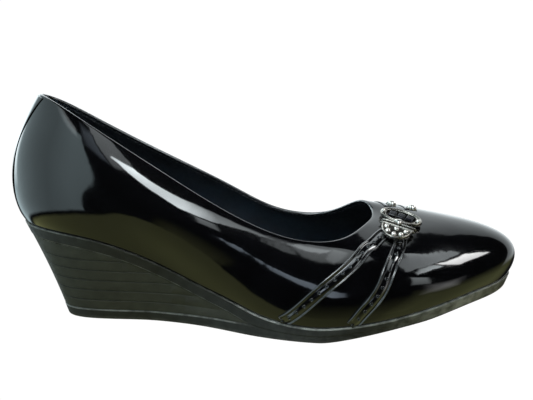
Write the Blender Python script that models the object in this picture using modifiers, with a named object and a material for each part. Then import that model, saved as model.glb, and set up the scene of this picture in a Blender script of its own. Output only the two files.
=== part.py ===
"""A wedge-heel dress pump for the right foot.

Each piece is its own object: the sole, the wedge heel, the insole, the hollow upper, the strip over
the back seam, four vamp straps, and the metal ornament with its stones, studs and beads.
+X points to the toe, +Y to the inner side of the foot and +Z up. The sole stands on Z = 0.
"""

import math
from collections import namedtuple

import bmesh
import bpy
import numpy as np

# Driving dimensions of the shoe, in metres.
SHOE_LENGTH = 0.238
BALL_WIDTH = 0.080
COLLAR_HEIGHT = 0.100
WALL = 0.0016
GAP = 0.0003

# Sole and wedge heel.
EDGE_PROUD = 0.0006
BAND_HEIGHT = 0.0055
OUTSOLE_HEIGHT = 0.0048
EDGE_ROUND = 0.0007
ARCH_RISE = 0.0005
TOE_SPRING = 0.0172
TOE_CURL = 0.0012
HEEL_FLAT_END = 0.294
BALL_FLAT_START = 0.496
BALL_FLAT_END = 0.600
TOE_END = 0.987
SPRING_SOFTNESS = 0.06
PANEL_INSET = 0.0004
RIB_COUNT = 5
RIB_FIRST = 0.0097
RIB_PITCH = 0.0050
RIB_HALF = 0.0006
RIB_TIP_SHARE = 0.33
RIB_DEPTH = 0.0006
ROOM_START = -0.05
ROOM_END = 0.60
ROOM_STEPS = 66

# Insole and overlays.
INSOLE_THICK = 0.0022
INSOLE_INSET = 0.0026
OVERLAY_FOOT = 0.03
STRAP_WIDTH = 0.0060
STRAP_THICK = 0.0009
STRIP_WIDTH = 0.0120
STRIP_THICK = 0.0007

# How finely the faceted solids are cut.
COLUMNS = 64
ROWS = 11
OVERLAY_STEPS = 16
OVERLAY_CUT = 0.0020

# The last, one row for each section from heel to toe.
# along, skew, top_along and base_along are shares of SHOE_LENGTH. centre, half, top_half, bulge, curl
# and base_half are shares of BALL_WIDTH. top_height, tilt, rise and drop are shares of COLLAR_HEIGHT.
# along, skew, centre, half: the feather edge, where the upper meets the sole. skew is how far the
# inner end of the section lies ahead of its middle.
# base_along, base_half: the outline of the sole on the floor.
Outline = namedtuple("Outline", "place along skew centre half base_along base_half")
OUTLINES = (
    Outline("heel_back", 0.018, 0, 0, 0, 0.110, 0),
    Outline("heel_corner", 0.060, 0, 0, 0.206, 0.116, 0.212),
    Outline("heel_side", 0.151, 0, 0, 0.329, 0.194, 0.277),
    Outline("waist", 0.303, 0, -0.009, 0.317, 0.309, 0.279),
    Outline("shank", 0.454, 0.011, -0.051, 0.336, 0.449, 0.361),
    Outline("ball", 0.643, 0.042, -0.020, 0.479, 0.642, 0.504),
    Outline("toe_side", 0.798, 0.034, -0.011, 0.440, 0.798, 0.439),
    Outline("toe_corner", 0.925, 0.017, 0.017, 0.286, 0.924, 0.286),
    Outline("toe_tip", 0.991, 0, 0.037, 0, 0.986, 0),
)
# top_along, top_half, top_height, tilt: the topline over the section. tilt is how far the outer side
# stands over the middle and the inner side under it.
# bulge, rise: how far the wall goes out and up as it leaves the feather edge.
# reach, curl, drop: how far the wall goes out, as a share of the way to the feather edge and beyond
# it, and down as it leaves the topline.
Rib = namedtuple("Rib", "place top_along top_half top_height tilt bulge rise reach curl drop")
RIBS = (
    Rib("heel_back", 0.053, 0, 1.012, 0, 0.123, 0.160, 1.620, 0, 0.205),
    Rib("heel_corner", 0.082, 0.104, 0.987, 0.010, 0.135, 0.174, 0.910, 0.020, 0.150),
    Rib("heel_side", 0.160, 0.210, 0.887, 0.021, 0.080, 0.161, 0.600, 0.130, 0.150),
    Rib("waist", 0.286, 0.280, 0.721, 0.016, 0.050, 0.140, 0.700, 0.240, 0.190),
    Rib("shank", 0.412, 0.313, 0.561, 0.004, 0.062, 0.120, 0.600, 0.130, 0.100),
    Rib("ball", 0.538, 0.329, 0.433, 0.009, 0.063, 0.139, 0.550, 0, 0.070),
    Rib("toe_side", 0.633, 0.296, 0.435, -0.003, 0.062, 0.152, 0.610, 0, 0.034),
    Rib("toe_corner", 0.687, 0.147, 0.499, -0.027, 0.082, 0.163, 0.570, 0, 0.061),
    Rib("toe_tip", 0.707, 0, 0.503, 0, 0.137, 0.215, 0.710, 0, 0.023),
)
Section = namedtuple("Section", Outline._fields + Rib._fields[1:])
LAST = [Section(*outline, *rib[1:]) for outline, rib in zip(OUTLINES, RIBS)]
TOE_TOP_SHIFT = 0.6

# The height of the feather edge along the shoe: shares of SHOE_LENGTH and of COLLAR_HEIGHT.
Profile = namedtuple("Profile", "along height")
FEATHER = (
    Profile(0.025, 0.417),
    Profile(0.168, 0.401),
    Profile(0.250, 0.340),
    Profile(0.313, 0.273),
    Profile(0.374, 0.205),
    Profile(0.437, 0.144),
    Profile(0.489, 0.095),
    Profile(0.534, 0.074),
    Profile(0.592, 0.065),
    Profile(0.647, 0.076),
    Profile(0.710, 0.098),
    Profile(0.807, 0.147),
    Profile(0.891, 0.196),
    Profile(0.987, 0.227),
)

# The middle lines of the vamp straps: the share of the way from heel to toe and the share of the
# way up the wall.
Waypoint = namedtuple("Waypoint", "around up")
REAR_STRAP = (
    Waypoint(0.522, 0.020),
    Waypoint(0.575, 0.298),
    Waypoint(0.635, 0.525),
    Waypoint(0.719, 0.746),
    Waypoint(0.774, 0.819),
    Waypoint(0.834, 0.861),
)
FRONT_STRAP = (
    Waypoint(0.642, 0.015),
    Waypoint(0.661, 0.150),
    Waypoint(0.693, 0.311),
    Waypoint(0.743, 0.542),
    Waypoint(0.812, 0.696),
)
# The inner straps run on to the far side of the ornament.
REAR_STRAP_INNER = (
    *REAR_STRAP[:-2],
    Waypoint(0.815, 0.845),
    Waypoint(0.900, 0.893),
    Waypoint(0.962, 0.920),
)
FRONT_STRAP_INNER = (
    *FRONT_STRAP[:-1],
    Waypoint(0.812, 0.680),
    Waypoint(0.900, 0.788),
    Waypoint(0.976, 0.850),
)
BACK_STRIP = (Waypoint(0, 0.03), Waypoint(0, 0.35), Waypoint(0, 0.7), Waypoint(0, 0.985))

# The ornament is laid out flat and then bent over the vamp. along points to the toe, down to the
# outer side of the foot, and up away from the leather.
ORNAMENT_AT = Waypoint(0.947, 0.890)
ORNAMENT_TURN = math.radians(25)
ORNAMENT_LIFT = 0.0008
ORNAMENT_BEND = 0.200
BEND_CUT = 0.0030
PLATE_THICK = 0.0012
RIM_HEIGHT = 0.0008
RIM_WIDTH = 0.0010
OVAL_LONG = 0.0101
OVAL_WIDE = 0.0056
TRAY_LONG = 0.0074
TRAY_WIDE = 0.0039
BAR_REACH = 0.0085
BAR_AHEAD = 0.0011
BAR_WIDTH = 0.0012
BAR_PLACES = (0.0066, 0.0088)
DISC_CHORD = 0.0088
DISC_FLOOR_START = 0.0095
DISC_REACH = 0.0074
DISC_DEPTH = 0.0088
DISC_AHEAD = 0.0014
OUTLINE_POINTS = 28
JOIN = 0.0002
SEAT_CLEARANCE = 0.00015

STONE_LONG = 0.0036
STONE_WIDE = 0.0038
STONE_HEIGHT = 0.0020
STONE_SLOPE = 0.0006
STONE_PLACES = (-0.0041, 0.0, 0.0041)
STUD_RADIUS = 0.0013
STUD_REACH = 0.0046
STUD_DEPTH = 0.0042
STUD_START = 0.01095
STUD_ANGLES = (3, 48, 91, 134, 177)
END_STUD_RADIUS = 0.0009
END_STUD_PLACES = (-0.0086, 0.0086)
END_STUD_DOWN = 0.0008
HEART_SIZE = (0.0016, 0.0014, 0.0012)
HEART_PLACE = (0.0007, 0.0064)
HEART_LOBES = 3
STUD_SEGMENTS = 10
STUD_RINGS = 6
BEAD_SIZE = (0.0021, 0.0017, 0.0030)
BEAD_FLUTES = 10
FLUTE_DEPTH = 0.16
BEAD_SEGMENTS = 20
BEAD_RINGS = 8
BEADS_AT = (Waypoint(0.972, 0.926), Waypoint(0.990, 0.860))


def cubic_spline(knots, values, period=None):
    """A smooth curve through values at knots: closed with that period, or else with free ends."""
    knots = np.asarray(knots, float)
    values = np.asarray(values, float)
    if period is not None:
        knots = np.append(knots, knots[0] + period)
        values = np.concatenate([values, values[:1]])
    count = len(knots)
    step = np.diff(knots)
    slope = np.diff(values, axis=0) / step.reshape(-1, *[1] * (values.ndim - 1))
    matrix = np.zeros((count, count))
    right = np.zeros_like(values)
    for i in range(1, count - 1):
        matrix[i, i - 1 : i + 2] = step[i - 1], 2 * (step[i - 1] + step[i]), step[i]
        right[i] = 6 * (slope[i] - slope[i - 1])
    if period is None:
        matrix[0, 0] = matrix[-1, -1] = 1
    else:
        matrix[0, [0, 1, -2]] = 2 * (step[0] + step[-1]), step[0], step[-1]
        right[0] = 6 * (slope[0] - slope[-1])
        matrix[-1, [0, -1]] = 1, -1
    bend = np.linalg.solve(matrix, right)

    def curve(at):
        at = np.asarray(at, float)
        if period is not None:
            at = knots[0] + np.mod(at - knots[0], period)
        i = np.clip(np.searchsorted(knots, at, side="right") - 1, 0, count - 2)
        shape = at.shape + (1,) * (values.ndim - 1)
        h = step[i].reshape(shape)
        after = (at - knots[i]).reshape(shape) / h
        before = 1 - after
        swing = (before**3 - before) * bend[i] + (after**3 - after) * bend[i + 1]
        return before * values[i] + after * values[i + 1] + h * h / 6 * swing

    return curve


feather_profile = cubic_spline([p.along for p in FEATHER], [p.height for p in FEATHER])


def feather_height(x):
    share = np.clip(np.asarray(x) / SHOE_LENGTH, FEATHER[0].along, FEATHER[-1].along)
    return feather_profile(share) * COLLAR_HEIGHT


def base_height(x):
    """The underside: flat at heel and ball, a slight arch between them and the toe spring ahead."""
    share = np.asarray(x) / SHOE_LENGTH
    arch = np.clip((share - HEEL_FLAT_END) / (BALL_FLAT_START - HEEL_FLAT_END), 0, 1)
    ahead = np.clip((share - BALL_FLAT_END) / (TOE_END - BALL_FLAT_END), 0, None)
    lift = np.hypot(ahead, SPRING_SOFTNESS) - SPRING_SOFTNESS
    full_lift = math.hypot(1, SPRING_SOFTNESS) - SPRING_SOFTNESS
    curl = np.sin(math.pi * np.clip(2 * ahead - 1, 0, 1)) ** 2
    return ARCH_RISE * np.sin(math.pi * arch) ** 2 + TOE_SPRING * lift / full_lift + TOE_CURL * curl


def around(station):
    """A closed loop of stations: heel, outer side (side -1), toe and back along the inner side (+1)."""
    outer = [station(section, -1) for section in LAST]
    inner = [station(section, 1) for section in LAST[-2:0:-1]]
    return np.array(outer + inner)


def feather_station(section, side):
    x = (section.along + side * section.skew) * SHOE_LENGTH
    return x, (section.centre + side * section.half) * BALL_WIDTH


def topline_station(section, side):
    shift = section.centre * TOE_TOP_SHIFT if section.half == 0 else 0
    height = (section.top_height - side * section.tilt) * COLLAR_HEIGHT
    return section.top_along * SHOE_LENGTH, (shift + side * section.top_half) * BALL_WIDTH, height


def base_station(section, side):
    x = (section.base_along + side * section.skew) * SHOE_LENGTH
    return x, (section.centre + side * section.base_half) * BALL_WIDTH


def column(name):
    return around(lambda section, side: (getattr(section, name),))


FEATHER_STATIONS = around(feather_station)
STEPS = np.linalg.norm(np.roll(FEATHER_STATIONS, -1, axis=0) - FEATHER_STATIONS, axis=1)
KNOTS = np.concatenate([[0], np.cumsum(STEPS)[:-1]])
PERIMETER = float(STEPS.sum())
TOE_KNOT = float(KNOTS[len(LAST) - 1])
feather_plan = cubic_spline(KNOTS, FEATHER_STATIONS, PERIMETER)
base_plan = cubic_spline(KNOTS, around(base_station), PERIMETER)


def outward(s):
    """The unit vector in plan that points out of the feather edge at s."""
    near = PERIMETER * 1e-5
    ahead = feather_plan(np.asarray(s) + near) - feather_plan(np.asarray(s) - near)
    ahead = ahead / np.linalg.norm(ahead, axis=-1, keepdims=True)
    return np.stack([ahead[..., 1], -ahead[..., 0]], axis=-1)


TOPLINE_STATIONS = around(topline_station)
FEATHER_POINTS = np.column_stack([FEATHER_STATIONS, feather_height(FEATHER_STATIONS[:, 0])])
WALL_RISE = np.hstack([outward(KNOTS) * column("bulge") * BALL_WIDTH, column("rise") * COLLAR_HEIGHT])
CROWN_WAY = (FEATHER_STATIONS - TOPLINE_STATIONS[:, :2]) * column("reach")
CROWN_OUT = CROWN_WAY + outward(KNOTS) * column("curl") * BALL_WIDTH
CROWN_DROP = np.hstack([CROWN_OUT, -column("drop") * COLLAR_HEIGHT])
wall_loop = cubic_spline(KNOTS, FEATHER_POINTS + WALL_RISE, PERIMETER)
crown_loop = cubic_spline(KNOTS, TOPLINE_STATIONS + CROWN_DROP, PERIMETER)
topline_loop = cubic_spline(KNOTS, TOPLINE_STATIONS, PERIMETER)


def feather_loop(s):
    plan = feather_plan(s)
    return np.concatenate([plan, feather_height(plan[..., :1])], axis=-1)


def upper_point(s, v):
    """The outside of the upper. s runs round the feather edge; v is 0 at the sole and 1 at the topline."""
    v = np.asarray(v, float)[..., None]
    w = 1 - v
    low = w**3 * feather_loop(s) + 3 * w * w * v * wall_loop(s)
    return low + 3 * w * v * v * crown_loop(s) + v**3 * topline_loop(s)


def upper_slopes(s, v):
    """How the outside of the upper moves with s and with v."""
    ds = PERIMETER * 1e-4
    dv = 1e-4
    along = (upper_point(s + ds, v) - upper_point(s - ds, v)) / (2 * ds)
    up = (upper_point(s, v + dv) - upper_point(s, v - dv)) / (2 * dv)
    return along, up


def upper_normal(s, v):
    normal = np.cross(*upper_slopes(s, v))
    return normal / np.linalg.norm(normal, axis=-1, keepdims=True)


def side_place(share, side):
    """The place round the feather edge at a share of the way from heel to toe, on one side."""
    if side < 0:
        return share * TOE_KNOT
    return PERIMETER - share * (PERIMETER - TOE_KNOT)


def ring(count):
    """Places round the feather edge with as many on the outer as on the inner side."""
    outer = np.linspace(0, TOE_KNOT, count // 2, endpoint=False)
    inner = np.linspace(TOE_KNOT, PERIMETER, count // 2, endpoint=False)
    return np.concatenate([outer, inner])


def new_object(name, points, faces, material, collection):
    """A mesh object from points and faces, with doubles merged and faces turned out."""
    mesh = bpy.data.meshes.new(name)
    mesh.from_pydata([tuple(map(float, p)) for p in points], [], faces)
    shape = bmesh.new()
    shape.from_mesh(mesh)
    bmesh.ops.remove_doubles(shape, verts=shape.verts, dist=1e-6)
    if all(edge.is_manifold for edge in shape.edges):
        bmesh.ops.recalc_face_normals(shape, faces=shape.faces)
    shape.to_mesh(mesh)
    shape.free()
    if material:
        mesh.materials.append(material)
    obj = bpy.data.objects.new(name, mesh)
    collection.objects.link(obj)
    return obj


def band_faces(rows, columns, closed):
    """Quads between following rows of points."""
    faces = []
    for r in range(rows - 1):
        for c in range(columns if closed else columns - 1):
            n = (c + 1) % columns
            low, high = r * columns, (r + 1) * columns
            faces.append((low + c, low + n, high + n, high + c))
    return faces


def cap_faces(start, columns):
    """Quads across a closed row, each from the outer side to the inner side."""
    faces = []
    for i in range(columns // 2):
        corners = (i, i + 1, columns - i - 1, (columns - i) % columns)
        faces.append(tuple(start + c for c in dict.fromkeys(corners)))
    return faces


def stack(name, loops, material, collection):
    """A closed solid from closed loops of points, one over the other."""
    columns = len(loops[0])
    faces = band_faces(len(loops), columns, True)
    faces += cap_faces(0, columns) + cap_faces((len(loops) - 1) * columns, columns)
    return new_object(name, np.concatenate(loops), faces, material, collection)


def add_boolean(obj, cutter, operation):
    step = obj.modifiers.new(operation.lower(), "BOOLEAN")
    step.operation = operation
    step.solver = "EXACT"
    step.object = cutter


def add_thickness(obj, thickness, side):
    step = obj.modifiers.new("thickness", "SOLIDIFY")
    step.thickness = thickness
    step.offset = side
    step.use_even_offset = True


def baked(obj):
    """The mesh of an object with its modifiers applied."""
    bpy.context.view_layer.update()
    evaluated = obj.evaluated_get(bpy.context.evaluated_depsgraph_get())
    return bpy.data.meshes.new_from_object(evaluated)


def sole_wall(s, inset):
    """The upper and lower edges of the side of the sole."""
    out = outward(s)
    top = feather_loop(s)
    top = np.column_stack([top[:, :2] + out * (EDGE_PROUD - inset), top[:, 2] - GAP])
    foot = base_plan(s) - out * inset
    return top, np.column_stack([foot, base_height(foot[:, 0])])


def make_sole(material, pieces, cutters):
    s = ring(COLUMNS)
    top, foot = sole_wall(s, 0)
    out = np.column_stack([outward(s), np.zeros(COLUMNS)])
    rise = (top - foot) * (EDGE_ROUND / (top - foot)[:, 2:])
    inner_foot = foot - out * EDGE_ROUND
    inner_foot[:, 2] = base_height(inner_foot[:, 0])
    sole = stack("sole", [top, (top + foot) / 2, foot + rise, inner_foot], material, pieces)
    add_boolean(sole, wedge_room("wedge_room", 0, cutters), "DIFFERENCE")
    return sole


def wedge_room(name, inset, cutters):
    """The room between the band under the upper and the outsole, as a prism across the shoe."""
    x = np.linspace(ROOM_START, ROOM_END, ROOM_STEPS) * SHOE_LENGTH
    roof = feather_height(x) - GAP - BAND_HEIGHT - inset
    floor = base_height(x) + OUTSOLE_HEIGHT + inset
    room = roof - floor
    open_count = int(np.argmax(room <= 0))
    last, after = room[open_count - 1], room[open_count]
    tip = x[open_count - 1] + last / (last - after) * (x[open_count] - x[open_count - 1])
    x = np.append(x[:open_count], tip)
    tip_height = float(base_height(tip)) + OUTSOLE_HEIGHT + inset
    roof = np.append(roof[:open_count], tip_height)
    floor = np.append(floor[:open_count], tip_height)
    outline = [(a, b) for a, b in zip(x, floor)] + [(a, b) for a, b in zip(x[-2::-1], roof[-2::-1])]
    count = len(outline)
    points = [(a, side * BALL_WIDTH, b) for side in (-1, 1) for a, b in outline]
    faces = [tuple(range(count)), tuple(range(2 * count - 1, count - 1, -1))]
    faces += [(i, (i + 1) % count, count + (i + 1) % count, count + i) for i in range(count)]
    room = new_object(name, points, faces, None, cutters)
    room.display_type = "WIRE"
    room.hide_render = True
    return room


def make_wedge(material, pieces, cutters):
    """The block of the heel: a tower of level rows with ribs, cut to the room that the sole leaves."""
    s = ring(COLUMNS)
    top, foot = sole_wall(s, PANEL_INSET)
    out = outward(s)
    levels = [(-GAP, 0)]
    for i in range(RIB_COUNT):
        middle = RIB_FIRST + i * RIB_PITCH
        tip = RIB_HALF * RIB_TIP_SHARE
        levels += [(middle - RIB_HALF, 0), (middle - tip, RIB_DEPTH)]
        levels += [(middle + tip, RIB_DEPTH), (middle + RIB_HALF, 0)]
    levels += [(COLLAR_HEIGHT / 2, 0)]
    loops = []
    for height, depth in levels:
        share = np.clip((height - foot[:, 2]) / (top[:, 2] - foot[:, 2]), 0, 1)[:, None]
        plan = foot[:, :2] + (top - foot)[:, :2] * share - out * depth
        loops.append(np.column_stack([plan, np.full(COLUMNS, height)]))
    wedge = stack("wedge_heel", loops, material, pieces)
    add_boolean(wedge, wedge_room("wedge_limit", GAP, cutters), "INTERSECT")
    return wedge


def make_insole(material, pieces):
    s = ring(COLUMNS)
    low = feather_loop(s)
    low[:, :2] -= outward(s) * INSOLE_INSET
    return stack("insole", [low, low + np.array([0, 0, INSOLE_THICK])], material, pieces)


def make_upper(material, pieces):
    s, v = np.meshgrid(ring(COLUMNS), np.linspace(0, 1, ROWS))
    upper = new_object(
        "upper", upper_point(s, v).reshape(-1, 3), band_faces(ROWS, COLUMNS, True), material, pieces
    )
    add_thickness(upper, WALL, -1)
    return upper


def make_overlay(name, waypoints, side, width, thickness, material, pieces):
    """A band that lies on the upper along a line of waypoints."""
    across_count = math.ceil(width / OVERLAY_CUT) + 1
    knots = np.linspace(0, 1, len(waypoints))
    line = cubic_spline(knots, [(side_place(w.around, side), w.up) for w in waypoints])
    places = line(np.linspace(0, 1, OVERLAY_STEPS))
    heading = np.gradient(places, axis=0)
    s, v = places[:, 0], places[:, 1]
    along, up = upper_slopes(s, v)
    ahead = along * heading[:, :1] + up * heading[:, 1:]
    across = np.cross(upper_normal(s, v), ahead)
    across /= np.linalg.norm(across, axis=1, keepdims=True)
    points = []
    for i in range(OVERLAY_STEPS):
        slopes = np.column_stack([along[i], up[i]])
        step = np.linalg.lstsq(slopes, across[i], rcond=None)[0]
        for share in np.linspace(0.5, -0.5, across_count):
            at_s = s[i] + step[0] * share * width
            at_v = max(v[i] + step[1] * share * width, OVERLAY_FOOT)
            points.append(upper_point(at_s, at_v) + upper_normal(at_s, at_v) * GAP)
    strap = new_object(name, points, band_faces(OVERLAY_STEPS, across_count, False), material, pieces)
    add_thickness(strap, thickness, 1)
    return strap


def vamp_frame(at, side, lift):
    """A place over the vamp and its three directions: along, down and up."""
    s = side_place(at.around, side)
    up = upper_normal(s, at.up)
    along = np.array([math.cos(ORNAMENT_TURN), -math.sin(ORNAMENT_TURN), 0])
    along -= up * (along @ up)
    along /= np.linalg.norm(along)
    return upper_point(s, at.up) + up * lift, along, np.cross(along, up), up


def bend_over(mesh, frame):
    """Bends a flat mesh over the vamp. Down is on the right of along, so the faces are turned over."""
    middle, along, down, up = frame
    for vertex in mesh.vertices:
        a, b, h = vertex.co
        angle = b / ORNAMENT_BEND
        radius = ORNAMENT_BEND + h
        sideways, height = radius * math.sin(angle), radius * math.cos(angle) - ORNAMENT_BEND
        vertex.co = middle + along * a + down * sideways + up * height
    mesh.flip_normals()


def ellipse(long, wide, count):
    turns = [2 * math.pi * i / count for i in range(count)]
    return [(long * math.cos(t), wide * math.sin(t)) for t in turns]


def half_disc(reach, depth, chord, count):
    turns = [math.pi * i / (count - 1) for i in range(count)]
    return [(DISC_AHEAD + reach * math.cos(t), chord + depth * math.sin(t)) for t in turns]


def bar(reach, middle, width):
    low, high = middle - width / 2, middle + width / 2
    back, front = BAR_AHEAD - reach, BAR_AHEAD + reach
    return [(back, low), (front, low), (front, high), (back, high)]


def plate(name, outline, bottom, top, collection):
    """A flat plate from its outline."""
    count = len(outline)
    points = [(a, b, h) for h in (bottom, top) for a, b in outline]
    faces = [tuple(range(count)), tuple(range(2 * count - 1, count - 1, -1))]
    faces += [(i, (i + 1) % count, count + (i + 1) % count, count + i) for i in range(count)]
    obj = new_object(name, points, faces, None, collection)
    obj.hide_render = True
    obj.display_type = "WIRE"
    return obj


def make_casting(frame, material, pieces, cutters):
    """The metal plate of the ornament: an oval with a tray, two bars and a half disc with a rim."""
    top = PLATE_THICK + RIM_HEIGHT
    points = OUTLINE_POINTS
    casting = plate("ornament_flat", ellipse(OVAL_LONG, OVAL_WIDE, points), 0, top, cutters)
    tray = plate("tray", ellipse(TRAY_LONG, TRAY_WIDE, points), PLATE_THICK, 2 * top, cutters)
    add_boolean(casting, tray, "DIFFERENCE")
    disc = plate("disc", half_disc(DISC_REACH, DISC_DEPTH, DISC_CHORD, points), 0, top - JOIN, cutters)
    floor_depth = DISC_CHORD + DISC_DEPTH - RIM_WIDTH - DISC_FLOOR_START
    floor = half_disc(DISC_REACH - RIM_WIDTH, floor_depth, DISC_FLOOR_START, points)
    add_boolean(disc, plate("disc_floor", floor, PLATE_THICK, 2 * top, cutters), "DIFFERENCE")
    add_boolean(casting, disc, "UNION")
    bridge_start = OVAL_WIDE - RIM_WIDTH
    bridge_middle, bridge_width = (bridge_start + DISC_CHORD) / 2, DISC_CHORD - bridge_start
    bridge = bar(BAR_REACH / 2, bridge_middle, bridge_width)
    add_boolean(casting, plate("bridge", bridge, JOIN / 2, PLATE_THICK - JOIN / 2, cutters), "UNION")
    for i, middle in enumerate(BAR_PLACES):
        rod = plate(f"bar_{i + 1}", bar(BAR_REACH, middle, BAR_WIDTH), JOIN / 4, top + JOIN, cutters)
        add_boolean(casting, rod, "UNION")
    shape = bmesh.new()
    shape.from_mesh(baked(casting))
    for cut in np.arange(-OVAL_WIDE + BEND_CUT, DISC_CHORD + DISC_DEPTH, BEND_CUT):
        everything = shape.verts[:] + shape.edges[:] + shape.faces[:]
        bmesh.ops.bisect_plane(shape, geom=everything, plane_co=(0, cut, 0), plane_no=(0, 1, 0), dist=1e-6)
    bmesh.ops.triangulate(shape, faces=shape.faces)
    mesh = bpy.data.meshes.new("ornament_casting")
    shape.to_mesh(mesh)
    shape.free()
    bend_over(mesh, frame)
    mesh.materials.clear()
    mesh.materials.append(material)
    obj = bpy.data.objects.new("ornament_casting", mesh)
    pieces.objects.link(obj)
    return obj


Facets = namedtuple("Facets", "segments rings flutes")


def make_dome(name, frame, place, size, facets, material, pieces):
    """A dome that stands in a frame: place is along, down, up and size its three radii."""
    shape = bmesh.new()
    bmesh.ops.create_uvsphere(shape, u_segments=facets.segments, v_segments=facets.rings, radius=1)
    everything = shape.verts[:] + shape.edges[:] + shape.faces[:]
    bmesh.ops.bisect_plane(
        shape, geom=everything, plane_co=(0, 0, 0), plane_no=(0, 0, 1), clear_inner=True, dist=1e-6
    )
    bmesh.ops.holes_fill(shape, edges=[e for e in shape.edges if e.is_boundary])
    bmesh.ops.recalc_face_normals(shape, faces=shape.faces)
    for vertex in shape.verts:
        turn = math.atan2(vertex.co.y, vertex.co.x)
        groove = 1 - FLUTE_DEPTH * (1 + math.cos(facets.flutes * turn)) / 2 if facets.flutes else 1
        scale = (size[0] * groove, size[1] * groove, size[2])
        vertex.co = [middle + part * k for middle, part, k in zip(place, vertex.co, scale)]
    mesh = bpy.data.meshes.new(name)
    shape.to_mesh(mesh)
    shape.free()
    bend_over(mesh, frame)
    mesh.materials.append(material)
    obj = bpy.data.objects.new(name, mesh)
    pieces.objects.link(obj)
    return obj


def make_stone(name, frame, along, material, pieces):
    """A stone with a flat table and sloping sides, set in the oval tray."""
    foot = PLATE_THICK + SEAT_CLEARANCE
    table = foot + STONE_HEIGHT
    points = []
    for height, shrink in ((foot, 0), (table - STONE_SLOPE, 0), (table, STONE_SLOPE)):
        half_a, half_b = STONE_LONG / 2 - shrink, STONE_WIDE / 2 - shrink
        points += [
            (along - half_a, -half_b, height),
            (along + half_a, -half_b, height),
            (along + half_a, half_b, height),
            (along - half_a, half_b, height),
        ]
    faces = band_faces(3, 4, True) + [(0, 1, 2, 3), (8, 9, 10, 11)]
    obj = new_object(name, points, faces, material, pieces)
    bend_over(obj.data, frame)
    return obj


def make_trim(frame, metal, stone, pieces):
    """Stones, studs and beads of the ornament."""
    for i, along in enumerate(STONE_PLACES):
        make_stone(f"ornament_stone_{i + 1}", frame, along, stone, pieces)
    places = [(DISC_AHEAD, STUD_START)]
    for angle in STUD_ANGLES:
        turn = math.radians(angle)
        places.append((DISC_AHEAD - STUD_REACH * math.cos(turn), STUD_START + STUD_DEPTH * math.sin(turn)))
    plain = Facets(STUD_SEGMENTS, STUD_RINGS, 0)
    on_floor = PLATE_THICK + SEAT_CLEARANCE
    for i, (along, down) in enumerate(places):
        name = f"ornament_stud_{i + 1}"
        make_dome(name, frame, (along, down, on_floor), (STUD_RADIUS,) * 3, plain, metal, pieces)
    on_rim = on_floor + RIM_HEIGHT
    for i, along in enumerate(END_STUD_PLACES):
        name = f"ornament_end_stud_{i + 1}"
        make_dome(name, frame, (along, END_STUD_DOWN, on_rim), (END_STUD_RADIUS,) * 3, plain, metal, pieces)
    lobed = Facets(BEAD_SEGMENTS, BEAD_RINGS, HEART_LOBES)
    make_dome("ornament_heart", frame, (*HEART_PLACE, on_rim + JOIN), HEART_SIZE, lobed, metal, pieces)
    fluted = Facets(BEAD_SEGMENTS, BEAD_RINGS, BEAD_FLUTES)
    for i, at in enumerate(BEADS_AT):
        over_strap = vamp_frame(at, 1, GAP + STRAP_THICK + GAP)
        make_dome(f"ornament_bead_{i + 1}", over_strap, (0, 0, 0), BEAD_SIZE, fluted, metal, pieces)


def new_material(name, colour, roughness, metallic, coat):
    material = bpy.data.materials.new(name)
    material.use_nodes = True
    shader = material.node_tree.nodes["Principled BSDF"]
    shader.inputs["Base Color"].default_value = (*colour, 1)
    shader.inputs["Roughness"].default_value = roughness
    shader.inputs["Metallic"].default_value = metallic
    shader.inputs["Coat Weight"].default_value = coat
    material.diffuse_color = (*colour, 1)
    return material


def new_collection(name):
    collection = bpy.data.collections.new(name)
    bpy.context.scene.collection.children.link(collection)
    return collection


def centre(pieces, cutters):
    """Hangs every piece and cutter on one empty that puts the middle of the shoe on the origin."""
    corners = []
    for obj in pieces.objects:
        mesh = baked(obj)
        corners += [tuple(vertex.co) for vertex in mesh.vertices]
        bpy.data.meshes.remove(mesh)
    low, high = np.min(corners, axis=0), np.max(corners, axis=0)
    hub = bpy.data.objects.new("shoe_middle", None)
    hub.location = (-(low[0] + high[0]) / 2, -(low[1] + high[1]) / 2, -low[2])
    for obj in pieces.objects[:] + cutters.objects[:]:
        obj.parent = hub
    pieces.objects.link(hub)


def main():
    for obj in list(bpy.data.objects):
        bpy.data.objects.remove(obj, do_unlink=True)
    pieces = new_collection("wedge_pump")
    cutters = new_collection("cutters")
    patent = new_material("patent_leather", (0.006, 0.006, 0.008), 0.12, 0, 1)
    rubber = new_material("sole_rubber", (0.030, 0.032, 0.026), 0.45, 0, 0)
    lining = new_material("insole_lining", (0.012, 0.012, 0.016), 0.6, 0, 0)
    metal = new_material("gunmetal", (0.36, 0.34, 0.30), 0.25, 1, 0)
    stone = new_material("black_stone", (0.004, 0.004, 0.006), 0.05, 0, 1)

    make_sole(rubber, pieces, cutters)
    make_wedge(rubber, pieces, cutters)
    make_insole(lining, pieces)
    make_upper(patent, pieces)
    make_overlay("back_strip", BACK_STRIP, -1, STRIP_WIDTH, STRIP_THICK, patent, pieces)
    for name, waypoints, side in (
        ("rear_strap_outer", REAR_STRAP, -1),
        ("rear_strap_inner", REAR_STRAP_INNER, 1),
        ("front_strap_outer", FRONT_STRAP, -1),
        ("front_strap_inner", FRONT_STRAP_INNER, 1),
    ):
        make_overlay(name, waypoints, side, STRAP_WIDTH, STRAP_THICK, patent, pieces)
    frame = vamp_frame(ORNAMENT_AT, -1, ORNAMENT_LIFT)
    make_casting(frame, metal, pieces, cutters)
    make_trim(frame, metal, stone, pieces)
    centre(pieces, cutters)


if __name__ == "__main__":
    main()
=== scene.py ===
"""Dresses the wedge-heel pump: patent leather, moulded sole, sock, straps and metal ornament."""

import math
from collections import namedtuple

import bmesh
import bpy
import numpy as np
from mathutils import Matrix, Vector


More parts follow.
